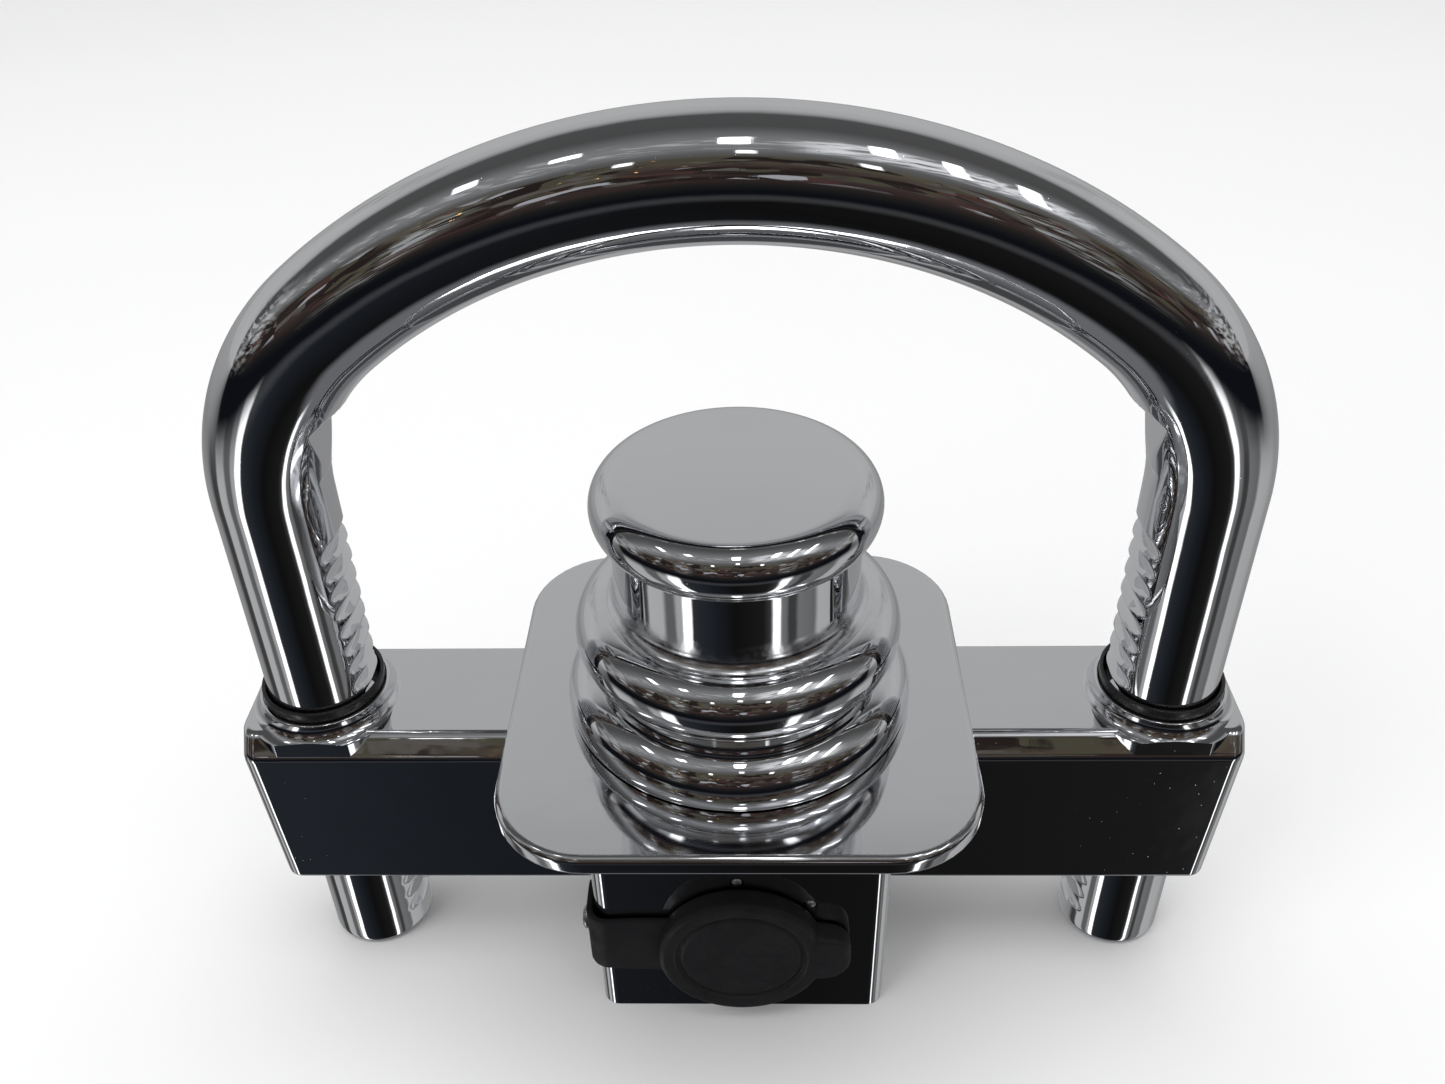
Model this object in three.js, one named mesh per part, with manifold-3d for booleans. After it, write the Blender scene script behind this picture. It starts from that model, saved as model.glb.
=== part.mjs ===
// Trailer coupler lock: a toothed U shackle slides in a cast cross bar, and a stepped post on a
// square plate fills the coupler's ball socket. A key cylinder draws two sprung pawls off the teeth.
// Millimetres. +X to the right of the lock, +Y to its back, +Z up, Z = 0 where it stands.
import * as THREE from "three";
import { mergeVertices } from "three/addons/utils/BufferGeometryUtils.js";
import Module from "manifold-3d";

const wasm = await Module();
wasm.setup();

const GAP = 0.3; // left between neighbouring pieces
const PAST = 1; // how far a cutting tool runs past the face it cuts
const HALF_TURN = Math.PI;
const QUARTER = Math.PI / 2;
const MERGE = 1e-4; // points closer than this are one
const HEX_SIDES = 6;
const PIN_SIDES = 12;
const HEAD_SIDES = 16;
const BOLT_SIDES = 20;
const BOSS_SIDES = 32;
const DISC_SIDES = 40;
const CORNER_SEGMENTS = 6;

// Shackle: a round bar bent to two straight legs, two corner bends and one long top arc.
const BAR_R = 9.6;
const LEG_X = 74.1;
const LEG_TOP_Z = 102.9;
const CORNER_R = 39.6;
const BOW_R = 93.8;
const BAR_SIDES = 24;
const CORNER_STEPS = 8;
const BOW_STEPS = 12;
const LEG_END_CHAMFER = 1.5;
const FLAT_FROM_AXIS = 9.4; // milled flat on each leg's inner side
const FLAT_TOP_Z = 118.4;
const TOOTH_PITCH = 3.97;
const TOOTH_DEPTH = 1.8;
const TOOTH_HEEL = 1.2; // height of the groove's deep side
const TOOTH_RISE = 3.4; // height of the groove's mouth
const ENGAGED_Z = 37.2; // floor of the groove that the lower pawl tooth enters
const GROOVES_BELOW = 8;
const GROOVES_ABOVE = 14;

// Cast body: the cross bar with the lock housing hanging from its middle.
const BAR_TOP_Z = 59.2;
const BAR_LOW_Z = 24.5;
const BAR_HALF_X = 87.5;
const BAR_DRAFT = 1.9;
const BAR_HALF_Y = 13;
const BAR_CORNER_R = 3;
const BAR_END_CHAMFER = 1;
const BEVEL_Y = 3.1;
const BEVEL_Z = 3.5;
const HOUSING_HALF_X = 26.6;
const HOUSING_FRONT_Y = -23.2;
const HOUSING_EDGE_R = 3;
const HOUSING_FOOT_R = 4;
const LEG_BORE_R = BAR_R + GAP;
const BOSS_TOP_Z = 62.2; // low boss round each leg's bore
const BOSS_PROFILE = [
  [13.4, 59],
  [12.2, 59.8],
  [11.8, 61.3],
  [11.4, BOSS_TOP_Z],
];
const BOSS_ROOT_Z = 50;
const SEAL_R = 10.5;
const SEAL_DEPTH = 4.5;
const SEAL_STAND = 2.0;

// Plate and post.
const POST_Y = -2.3;
const PLATE_X = 79.2;
const PLATE_Y = 77.8;
const PLATE_TOP_Z = 63;
const PLATE_CORNER_R = 16;
const PLATE_EDGE = 0.8;
const POST_FOOT_Z = PLATE_TOP_Z + GAP;
const LOW_RING = { r: 23.4, z: 65.4, edge: 6.2 };
const HIGH_RING = { r: 21.4, z: 78.9, edge: 5.9 };
const NECK_R = 20.3;
const NECK_FILLET = 2.3;
const CAP = { r: 18.3, z: 103.1, edge: 5 };
const CAP_CROWN = 0.4;
const VALLEY_R = 24.8;

// Bolt that holds the post and the plate down, with its washer, from the pocket below.
const BOLT_R = 5;
const BOLT_TOP_Z = 84;
const BOLT_HEAD_R = 7.5;
const BOLT_HEAD_Z = [37, 44.8];
const WASHER_R = 8.5;
const WASHER_Z = [45.1, 46.7];
const BOLT_ROOM_R = 9.3;
const BOLT_ROOM_TOP_Z = 47;
const HEX_SOCKET_R = 4.6;
const HEX_SOCKET_DEPTH = 4.5;
const DOWEL_X = 16;
const DOWEL_R = 2;
const DOWEL_Z = [52, 62.7];

// Pocket in the back of the body, and the cover that closes it.
const POCKET_HALF_X = 58.2;
const POCKET_Z = [36.4, 45.6];
const POCKET_FRONT_Y = -4.6;
const COVER_SEAT_Y = 10.2;
const COVER_Y = [10.5, 12.8];
const STEM_HALF_X = 21.4;
const STEM_LOW_Z = 8;
const STEM_FRONT_Y = -3.4;
const COVER_HALF_X = 65.5;
const COVER_Z = [31, 51.4];
const COVER_STEM_HALF_X = 24.6;
const COVER_LOW_Z = 1.6;
const COVER_CORNER_R = 4;
const SCREW_R = 1.2;
const SCREW_HEAD_R = 2.4;
const SCREW_HEAD_DEPTH = 1.3;
const SCREW_END_Y = 5;
const SCREW_PLACES = [
  [61.8, 41],
  [34, 48.3],
  [18, 5],
];

// Pawls: toothed bars that slide outwards into the legs, each with an arm down to the cam.
const PAWL_HALF_Y = 4;
const PAWL_Z = [37, 45];
const PAWL_TIP_LOCKED = LEG_X - FLAT_FROM_AXIS + TOOTH_DEPTH - GAP;
const PAWL_TEETH = 2;
const PAWL_INNER_X = 9.5;
const ARM_WIDTH = 5;
const ARM_Y = [2.8, 5.8];
const LUG_X = [48, 51];
const LUG_BACK_Y = 9.8;
const RIB_X = [22, 25.5];
const RIB_FRONT_Y = 5.4;
const SPRING_Y = 7.9;
const SPRING_R = 1.6;
const SPRING_WIRE_R = 0.35;
const SPRING_TURNS = 9;
const SPRING_STEPS_PER_TURN = 7;
const SPRING_WIRE_SIDES = 6;

// Lock cylinder, plug and cam, on an axis that runs front to back.
const LOCK_Z = 19.7;
const CYLINDER_R = 9;
const CYLINDER_FLANGE_R = 12;
const CYLINDER_Y = [-21, -1];
const CYLINDER_FLANGE_BACK_Y = -18.6;
const FLANGE_SEAT_Y = -18.3;
const PLUG_R = 6;
const PLUG_HEAD_R = 6.9;
const PLUG_Y = [-20.8, -0.4];
const PLUG_HEAD_BACK_Y = -19.6;
const KEYWAY = { halfX: 0.8, z: [-3.5, 4.5], backY: -5 };
const TAIL = { halfX: 3, halfZ: 1.4, backY: 2.4 };
const WAFERS = 5;
const WAFER_FIRST_Y = -17.5;
const WAFER_STEP = 2.4;
const WAFER = { halfX: 2, halfZ: 5.4, thick: 0.6, windowX: 1.1, windowZ: [-3.2, 3.6] };
const CAM_R = 6.8;
const CAM_Y = [0, 2.2];
const CAM_PIN_CIRCLE = 4.5;
const CAM_PIN_R = 1.25;
const CAM_PIN_BACK_Y = 5.9;
const CAM_SCREW_R = 1;
const CAM_SCREW_HEAD = { r: 2.2, y: [2.5, 4.2] };
const CAM_SCREW_FRONT_Y = -1.5;
const FORK_PLAY = 0.4;
const FORK_TINE = 2.4;
const FORK_TIP = 2.6;
const FORK_BRIDGE = 2.7;
const CLIP = { innerR: 8.3, outerR: 10.8, y: [-2.9, -2.1], mouth: 9 };
const CLIP_GROOVE = { r: 8, y: [-3.1, -1.9] };
const PIN_OFFSET = CAM_PIN_CIRCLE * Math.SQRT1_2;
const PAWL_TRAVEL = 2 * PIN_OFFSET;
const PAWL_TIP_X = PAWL_TIP_LOCKED - PAWL_TRAVEL;

// Rubber dust cap over the lock, held by a strap riveted to the housing's left side.
const DUST_R = 14.9;
const DUST_Y = [-27.7, -23.5];
const DUST_BOSS_R = 10.5;
const DUST_BOSS_BACK_Y = -21.6;
const DUST_RING = { innerR: 11, outerR: 11.8, depth: 0.5 };
const TAB_HALF_Z = 5.5;
const TAB_END_X = 19.7;
const TAB_R = 4.5;
const STRAP_THICK = 1.2;
const STRAP_INSET = 0.4; // the cap's half of the strap ends this much short of the side half
const STRAP_HALF_Z = 7;
const STRAP_BACK_Y = -13.5;
const STRAP_END_R = 3;
const RIVET = { r: 1.2, headR: 2.2, shoulderR: 1.87, headDome: 1, y: -18, innerX: -21.5 };
const FACE_PIN = { r: 1, dome: 0.6, backY: -14 };
const FACE_PIN_PLACES = [
  [-0.6, 35.7],
  [12.4, 29.8],
];

const chrome = { color: 0xc9ccd1, roughness: 0.06, metalness: 1 };
const steel = { color: 0x9b9ea3, roughness: 0.35, metalness: 1 };
const brass = { color: 0xb7924a, roughness: 0.35, metalness: 1 };
const rubber = { color: 0x101012, roughness: 0.75, metalness: 0 };

// A closed geometry as a solid that can be joined and cut.
function solid(geometry) {
  const bare = new THREE.BufferGeometry();
  bare.setAttribute("position", geometry.getAttribute("position"));
  bare.setIndex(geometry.index);
  const merged = mergeVertices(bare, MERGE);
  return new wasm.Manifold(
    new wasm.Mesh({
      numProp: 3,
      vertProperties: merged.attributes.position.array,
      triVerts: new Uint32Array(merged.index.array),
    }),
  );
}

function named(name, body, look) {
  const mesh = body.getMesh();
  const geometry = new THREE.BufferGeometry();
  geometry.setAttribute("position", new THREE.BufferAttribute(mesh.vertProperties, 3));
  geometry.setIndex(new THREE.BufferAttribute(mesh.triVerts, 1));
  geometry.computeVertexNormals();
  const piece = new THREE.Mesh(geometry, new THREE.MeshStandardMaterial(look));
  piece.name = name;
  return piece;
}

const joined = (solids) => solids.reduce((all, one) => all.add(one));

// A box between two corners.
function box([x0, x1], [y0, y1], [z0, z1]) {
  const geometry = new THREE.BoxGeometry(x1 - x0, y1 - y0, z1 - z0);
  return solid(geometry.translate((x0 + x1) / 2, (y0 + y1) / 2, (z0 + z1) / 2));
}

// A round bar along Z between two heights.
function roundZ(x, y, r, [z0, z1], sides = BAR_SIDES) {
  const geometry = new THREE.CylinderGeometry(r, r, z1 - z0, sides);
  return solid(geometry.rotateX(QUARTER).translate(x, y, (z0 + z1) / 2));
}

// A round bar along Y between two depths.
function roundY(x, z, r, [y0, y1], sides = BAR_SIDES) {
  const geometry = new THREE.CylinderGeometry(r, r, y1 - y0, sides);
  return solid(geometry.translate(x, (y0 + y1) / 2, z));
}

// An outline in X and Z, extruded from front to back.
function slabY(shape, [y0, y1]) {
  const geometry = new THREE.ExtrudeGeometry(shape, {
    depth: y1 - y0,
    bevelEnabled: false,
    curveSegments: CORNER_SEGMENTS,
  });
  return solid(geometry.rotateX(QUARTER).translate(0, y1, 0));
}

// An outline in Y and Z, extruded from left to right.
function slabX(shape, [x0, x1]) {
  const geometry = new THREE.ExtrudeGeometry(shape, {
    depth: x1 - x0,
    bevelEnabled: false,
    curveSegments: CORNER_SEGMENTS,
  });
  return solid(geometry.rotateX(QUARTER).rotateZ(QUARTER).translate(x0, 0, 0));
}

// An outline in X and Y, extruded upwards.
function slabZ(shape, [z0, z1], bevel = 0) {
  const geometry = new THREE.ExtrudeGeometry(shape, {
    depth: z1 - z0 - 2 * bevel,
    bevelEnabled: bevel > 0,
    bevelThickness: bevel,
    bevelSize: bevel,
    bevelOffset: -bevel,
    bevelSegments: 1,
    curveSegments: CORNER_SEGMENTS,
  });
  return solid(geometry.translate(0, 0, z0 + bevel));
}

// A rectangle with round corners; radii run from the lower left, anticlockwise.
function rounded([x0, x1], [y0, y1], radii) {
  const [a, b, c, d] = Array.isArray(radii) ? radii : [radii, radii, radii, radii];
  const shape = new THREE.Shape();
  shape.moveTo(x0 + a, y0);
  shape.lineTo(x1 - b, y0);
  if (b) shape.absarc(x1 - b, y0 + b, b, -QUARTER, 0);
  shape.lineTo(x1, y1 - c);
  if (c) shape.absarc(x1 - c, y1 - c, c, 0, QUARTER);
  shape.lineTo(x0 + d, y1);
  if (d) shape.absarc(x0 + d, y1 - d, d, QUARTER, HALF_TURN);
  shape.lineTo(x0, y0 + a);
  if (a) shape.absarc(x0 + a, y0 + a, a, HALF_TURN, HALF_TURN + QUARTER);
  return shape;
}

// Points of an arc in a turned profile, as radius and height.
function arc(r, z, edge, from, to, steps) {
  return Array.from({ length: steps + 1 }, (_, i) => {
    const turn = from + ((to - from) * i) / steps;
    return new THREE.Vector2(r + edge * Math.cos(turn), z + edge * Math.sin(turn));
  });
}

function turnedZ(points, x, y, sides) {
  return solid(new THREE.LatheGeometry(points, sides).rotateX(QUARTER).translate(x, y, 0));
}

const mirrored = (body) => body.mirror([1, 0, 0]);

// The shackle's centre line, met at chosen stations so that straight legs take one step each.
class ShackleLine extends THREE.Curve {
  constructor() {
    super();
    const cornerX = LEG_X - CORNER_R;
    const bowZ = LEG_TOP_Z - Math.sqrt((BOW_R - CORNER_R) ** 2 - cornerX ** 2);
    const meet = Math.atan2(LEG_TOP_Z - bowZ, cornerX);
    const station = (x, z, r, turn) => ({
      point: new THREE.Vector3(x + r * Math.cos(turn), 0, z + r * Math.sin(turn)),
      tangent: new THREE.Vector3(Math.sin(turn), 0, -Math.cos(turn)),
    });
    const bend = (x, z, r, from, to, steps) =>
      Array.from({ length: steps }, (_, i) => station(x, z, r, from + ((to - from) * i) / steps));
    this.stations = [
      { point: new THREE.Vector3(-LEG_X, 0, 0), tangent: new THREE.Vector3(0, 0, 1) },
      ...bend(-cornerX, LEG_TOP_Z, CORNER_R, HALF_TURN, HALF_TURN - meet, CORNER_STEPS),
      ...bend(0, bowZ, BOW_R, HALF_TURN - meet, meet, BOW_STEPS),
      ...bend(cornerX, LEG_TOP_Z, CORNER_R, meet, 0, CORNER_STEPS),
      station(cornerX, LEG_TOP_Z, CORNER_R, 0),
      { point: new THREE.Vector3(LEG_X, 0, 0), tangent: new THREE.Vector3(0, 0, -1) },
    ];
  }
  at(u) {
    return this.stations[Math.round(u * (this.stations.length - 1))];
  }
  getPointAt(u) {
    return this.at(u).point.clone();
  }
  getTangentAt(u) {
    return this.at(u).tangent.clone();
  }
  getSpacedPoints() {
    return this.stations.map((s) => s.point.clone());
  }
}

// What the mill removes from the right leg: the flat, its shoulder and the tooth grooves.
function toothCutter() {
  const flatX = LEG_X - FLAT_FROM_AXIS;
  const shape = new THREE.Shape();
  const innerX = flatX - BAR_R;
  shape.moveTo(innerX, -PAST);
  shape.lineTo(flatX, -PAST);
  for (let k = -GROOVES_BELOW; k <= GROOVES_ABOVE; k += 1) {
    const z = ENGAGED_Z + k * TOOTH_PITCH;
    shape.lineTo(flatX, z);
    shape.lineTo(flatX + TOOTH_DEPTH, z);
    shape.lineTo(flatX + TOOTH_DEPTH, z + TOOTH_HEEL);
    shape.lineTo(flatX, z + TOOTH_RISE);
  }
  shape.lineTo(flatX, FLAT_TOP_Z);
  shape.lineTo(innerX, FLAT_TOP_Z);
  return slabY(shape, [-BAR_R - PAST, BAR_R + PAST]);
}

// The round end of the right leg, as the rod that it is turned from.
function legEnd() {
  const far = LEG_TOP_Z + BOW_R;
  const rod = [
    new THREE.Vector2(0, 0),
    new THREE.Vector2(BAR_R - LEG_END_CHAMFER, 0),
    new THREE.Vector2(BAR_R + PAST, LEG_END_CHAMFER + PAST),
    new THREE.Vector2(LEG_X + PAST, LEG_END_CHAMFER + PAST),
    new THREE.Vector2(LEG_X + PAST, far),
    new THREE.Vector2(0, far),
  ];
  return turnedZ(rod, LEG_X, 0, BAR_SIDES);
}

function shackle() {
  const section = new THREE.Shape();
  section.absarc(0, 0, BAR_R, 0, 2 * HALF_TURN);
  const line = new ShackleLine();
  const sweep = new THREE.ExtrudeGeometry(section, {
    steps: line.stations.length - 1,
    extrudePath: line,
    curveSegments: BAR_SIDES / 2,
  });
  const cutter = toothCutter();
  const ends = legEnd();
  return solid(sweep)
    .intersect(ends.add(mirrored(ends)))
    .subtract(cutter)
    .subtract(mirrored(cutter));
}

// Cross bar: drafted ends, round vertical corners and a bevel along the top front edge.
function crossBar() {
  const ends = new THREE.Shape();
  ends.moveTo(-BAR_HALF_X + BAR_DRAFT, BAR_LOW_Z);
  ends.lineTo(BAR_HALF_X - BAR_DRAFT, BAR_LOW_Z);
  ends.lineTo(BAR_HALF_X, BAR_TOP_Z - BAR_END_CHAMFER);
  ends.lineTo(BAR_HALF_X - BAR_END_CHAMFER, BAR_TOP_Z);
  ends.lineTo(-BAR_HALF_X + BAR_END_CHAMFER, BAR_TOP_Z);
  ends.lineTo(-BAR_HALF_X, BAR_TOP_Z - BAR_END_CHAMFER);
  const plan = rounded([-BAR_HALF_X, BAR_HALF_X], [-BAR_HALF_Y, BAR_HALF_Y], BAR_CORNER_R);
  const side = new THREE.Shape();
  side.moveTo(-BAR_HALF_Y, BAR_LOW_Z);
  side.lineTo(BAR_HALF_Y, BAR_LOW_Z);
  side.lineTo(BAR_HALF_Y, BAR_TOP_Z);
  side.lineTo(-BAR_HALF_Y + BEVEL_Y, BAR_TOP_Z);
  side.lineTo(-BAR_HALF_Y, BAR_TOP_Z - BEVEL_Z);
  return slabY(ends, [-BAR_HALF_Y, BAR_HALF_Y])
    .intersect(slabZ(plan, [BAR_LOW_Z, BAR_TOP_Z]))
    .intersect(slabX(side, [-BAR_HALF_X, BAR_HALF_X]));
}

// A boss round the right leg's bore, flared where it meets the bar and no deeper than the bar.
function legBoss() {
  const profile = [
    new THREE.Vector2(0, BOSS_ROOT_Z),
    new THREE.Vector2(BOSS_PROFILE[0][0], BOSS_ROOT_Z),
    ...BOSS_PROFILE.map(([r, z]) => new THREE.Vector2(r, z)),
    new THREE.Vector2(0, BOSS_TOP_Z),
  ];
  const depth = BAR_HALF_Y - GAP;
  const height = [BOSS_ROOT_Z - PAST, BOSS_TOP_Z + PAST];
  const bounds = box([0, BAR_HALF_X - GAP], [-depth, depth], height);
  return turnedZ(profile, LEG_X, 0, DISC_SIDES).intersect(bounds);
}

function housing() {
  const halfX = [-HOUSING_HALF_X, HOUSING_HALF_X];
  const depth = [HOUSING_FRONT_Y, BAR_HALF_Y];
  const plan = rounded(halfX, depth, [HOUSING_EDGE_R, HOUSING_EDGE_R, 0, 0]);
  const front = rounded(halfX, [0, BAR_TOP_Z], [HOUSING_FOOT_R, HOUSING_FOOT_R, 0, 0]);
  return slabZ(plan, [0, BAR_TOP_Z]).intersect(slabY(front, depth));
}

// The cover's T outline, grown by a margin for the recess it drops into.
function coverOutline(margin) {
  const outer = COVER_HALF_X + margin;
  const stem = COVER_STEM_HALF_X + margin;
  const low = COVER_LOW_Z - margin;
  const barLow = COVER_Z[0] - margin;
  const barTop = COVER_Z[1] + margin;
  const r = COVER_CORNER_R;
  const shape = new THREE.Shape();
  shape.moveTo(-stem + r, low);
  shape.lineTo(stem - r, low);
  shape.absarc(stem - r, low + r, r, -QUARTER, 0);
  shape.lineTo(stem, barLow);
  shape.lineTo(outer - r, barLow);
  shape.absarc(outer - r, barLow + r, r, -QUARTER, 0);
  shape.absarc(outer - r, barTop - r, r, 0, QUARTER);
  shape.absarc(-outer + r, barTop - r, r, QUARTER, HALF_TURN);
  shape.absarc(-outer + r, barLow + r, r, HALF_TURN, HALF_TURN + QUARTER);
  shape.lineTo(-stem, barLow);
  shape.absarc(-stem + r, low + r, r, HALF_TURN, HALF_TURN + QUARTER);
  return shape;
}

const screwSpots = () => SCREW_PLACES.flatMap(([x, z]) => [[-x, z], [x, z]]);

// Everything that is hollow in the casting, one tool for each opening.
function bodyHollows() {
  const seat = [COVER_SEAT_Y, BAR_HALF_Y + PAST];
  const guideEnd = LEG_X - FLAT_FROM_AXIS + PAST;
  const rightTools = [
    roundZ(LEG_X, 0, LEG_BORE_R, [BAR_LOW_Z - PAST, BOSS_TOP_Z + PAST]),
    roundZ(LEG_X, 0, SEAL_R + GAP, [BOSS_TOP_Z - SEAL_DEPTH, BOSS_TOP_Z + PAST]),
    box(
      [POCKET_HALF_X - PAST, guideEnd],
      [-PAWL_HALF_Y - GAP, PAWL_HALF_Y + GAP],
      [PAWL_Z[0] - GAP, PAWL_Z[1] + GAP],
    ),
    roundZ(DOWEL_X, POST_Y, DOWEL_R + GAP, [DOWEL_Z[0] - GAP, BAR_TOP_Z + PAST], PIN_SIDES),
  ];
  const pocket = box([-POCKET_HALF_X, POCKET_HALF_X], [POCKET_FRONT_Y, seat[1]], POCKET_Z);
  const ribRoom = [RIB_FRONT_Y, COVER_SEAT_Y - GAP];
  const rib = box(RIB_X, ribRoom, POCKET_Z);
  return joined([
    ...rightTools,
    ...rightTools.map(mirrored),
    pocket.subtract(rib).subtract(mirrored(rib)),
    box([-STEM_HALF_X, STEM_HALF_X], [STEM_FRONT_Y, seat[1]], [STEM_LOW_Z, POCKET_Z[0] + PAST]),
    slabY(coverOutline(GAP), seat),
    roundZ(0, POST_Y, BOLT_ROOM_R, [POCKET_Z[0] - PAST, BOLT_ROOM_TOP_Z]),
    box(
      [-BOLT_ROOM_R, BOLT_ROOM_R],
      [POST_Y, seat[1]],
      [POCKET_Z[0] - PAST, BOLT_ROOM_TOP_Z],
    ),
    roundZ(0, POST_Y, BOLT_R + GAP, [BOLT_ROOM_TOP_Z - PAST, BAR_TOP_Z + PAST], BOLT_SIDES),
    roundY(0, LOCK_Z, CYLINDER_R + GAP, [HOUSING_FRONT_Y - PAST, STEM_FRONT_Y + PAST]),
    roundY(0, LOCK_Z, CYLINDER_FLANGE_R + GAP, [HOUSING_FRONT_Y - PAST, FLANGE_SEAT_Y]),
    ...screwSpots().map(([x, z]) => roundY(x, z, SCREW_R + GAP, [SCREW_END_Y - GAP, seat[1]], PIN_SIDES)),
    ...FACE_PIN_PLACES.map(([x, z]) =>
      roundY(x, z, FACE_PIN.r + GAP, [HOUSING_FRONT_Y - PAST, FACE_PIN.backY + GAP], PIN_SIDES),
    ),
    rivetShank(GAP),
  ]);
}

function lockBody() {
  const boss = legBoss();
  return joined([crossBar(), housing(), boss, mirrored(boss)]).subtract(bodyHollows());
}

function legSeal() {
  const height = [BOSS_TOP_Z - SEAL_DEPTH + GAP, BOSS_TOP_Z + SEAL_STAND];
  const through = [height[0] - PAST, height[1] + PAST];
  return roundZ(LEG_X, 0, SEAL_R, height).subtract(roundZ(LEG_X, 0, LEG_BORE_R, through));
}

function flangePlate() {
  const plan = rounded(
    [-PLATE_X / 2, PLATE_X / 2],
    [POST_Y - PLATE_Y / 2, POST_Y + PLATE_Y / 2],
    PLATE_CORNER_R,
  );
  const height = [BAR_TOP_Z + GAP, PLATE_TOP_Z];
  const through = [height[0] - PAST, height[1] + PAST];
  const dowelHole = roundZ(DOWEL_X, POST_Y, DOWEL_R + GAP, through, PIN_SIDES);
  return slabZ(plan, height, PLATE_EDGE)
    .subtract(roundZ(0, POST_Y, BOLT_R + GAP, through, BOLT_SIDES))
    .subtract(dowelHole)
    .subtract(mirrored(dowelHole));
}

// Stepped post: two round rings, a plain neck and a cap with a rounded edge, tapped from below.
function couplerPost() {
  const { r, z, edge } = LOW_RING;
  const lowFrom = Math.asin((POST_FOOT_Z - z) / edge);
  const lowTo = Math.acos((VALLEY_R - r) / edge);
  const highFrom = -Math.acos((VALLEY_R - HIGH_RING.r) / HIGH_RING.edge);
  const filletZ = HIGH_RING.z + HIGH_RING.edge + NECK_FILLET;
  const capFrom = -Math.acos((NECK_R - CAP.r) / CAP.edge);
  const tapped = BOLT_R + GAP;
  const profile = [
    new THREE.Vector2(0, BOLT_TOP_Z + GAP),
    new THREE.Vector2(tapped, BOLT_TOP_Z + GAP),
    new THREE.Vector2(tapped, POST_FOOT_Z),
    ...arc(r, z, edge, lowFrom, lowTo, 6),
    ...arc(HIGH_RING.r, HIGH_RING.z, HIGH_RING.edge, highFrom, QUARTER, 5),
    ...arc(NECK_R + NECK_FILLET, filletZ, NECK_FILLET, -QUARTER, -HALF_TURN, 2).slice(1),
    ...arc(CAP.r, CAP.z, CAP.edge, capFrom, QUARTER, 6),
    new THREE.Vector2(0, CAP.z + CAP.edge + CAP_CROWN),
  ];
  return turnedZ(profile, 0, POST_Y, DISC_SIDES);
}

function postBolt() {
  const socket = [BOLT_HEAD_Z[0] - PAST, BOLT_HEAD_Z[0] + HEX_SOCKET_DEPTH];
  return roundZ(0, POST_Y, BOLT_HEAD_R, BOLT_HEAD_Z)
    .add(roundZ(0, POST_Y, BOLT_R, [BOLT_HEAD_Z[1] - PAST, BOLT_TOP_Z], BOLT_SIDES))
    .subtract(roundZ(0, POST_Y, HEX_SOCKET_R, socket, HEX_SIDES));
}

function postWasher() {
  const through = [WASHER_Z[0] - PAST, WASHER_Z[1] + PAST];
  return roundZ(0, POST_Y, WASHER_R, WASHER_Z).subtract(
    roundZ(0, POST_Y, BOLT_R + GAP, through, BOLT_SIDES),
  );
}

const dowelPin = () => roundZ(DOWEL_X, POST_Y, DOWEL_R, DOWEL_Z, PIN_SIDES);

function rearCover() {
  const through = [COVER_Y[0] - PAST, COVER_Y[1] + PAST];
  const headSeat = [COVER_Y[1] - SCREW_HEAD_DEPTH - GAP, through[1]];
  const holes = screwSpots().flatMap(([x, z]) => [
    roundY(x, z, SCREW_R + GAP, through, PIN_SIDES),
    roundY(x, z, SCREW_HEAD_R + GAP, headSeat, HEAD_SIDES),
  ]);
  return slabY(coverOutline(0), COVER_Y).subtract(joined(holes));
}

function coverScrew([x, z]) {
  const head = [COVER_Y[1] - SCREW_HEAD_DEPTH, COVER_Y[1]];
  const recess = [head[1] - SCREW_HEAD_DEPTH / 2, head[1] + PAST];
  return roundY(x, z, SCREW_HEAD_R, head, HEAD_SIDES)
    .add(roundY(x, z, SCREW_R, [SCREW_END_Y, head[0] + SCREW_HEAD_DEPTH / 4], PIN_SIDES))
    .subtract(roundY(x, z, SCREW_R, recess, HEX_SIDES));
}

// The right pawl's bar, its toothed nose and the lug that its spring pushes on.
function pawlBar() {
  const tip = PAWL_TIP_X;
  const root = tip - TOOTH_DEPTH;
  const slope = (TOOTH_RISE - TOOTH_HEEL) / TOOTH_DEPTH;
  const play = GAP * Math.hypot(1, slope);
  const toothTip = TOOTH_HEEL - play + GAP * slope;
  const shape = new THREE.Shape();
  shape.moveTo(PAWL_INNER_X, PAWL_Z[0]);
  shape.lineTo(root, PAWL_Z[0]);
  for (let k = 0; k < PAWL_TEETH; k += 1) {
    const z = ENGAGED_Z + k * TOOTH_PITCH;
    shape.lineTo(root, z + GAP);
    shape.lineTo(tip, z + GAP);
    shape.lineTo(tip, z + toothTip);
    shape.lineTo(root, z + toothTip + TOOTH_DEPTH * slope);
  }
  shape.lineTo(root, PAWL_Z[1]);
  shape.lineTo(PAWL_INNER_X, PAWL_Z[1]);
  const lug = box(LUG_X, [PAWL_HALF_Y - PAST, LUG_BACK_Y], PAWL_Z);
  return slabY(shape, [-PAWL_HALF_Y, PAWL_HALF_Y]).add(lug);
}

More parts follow.
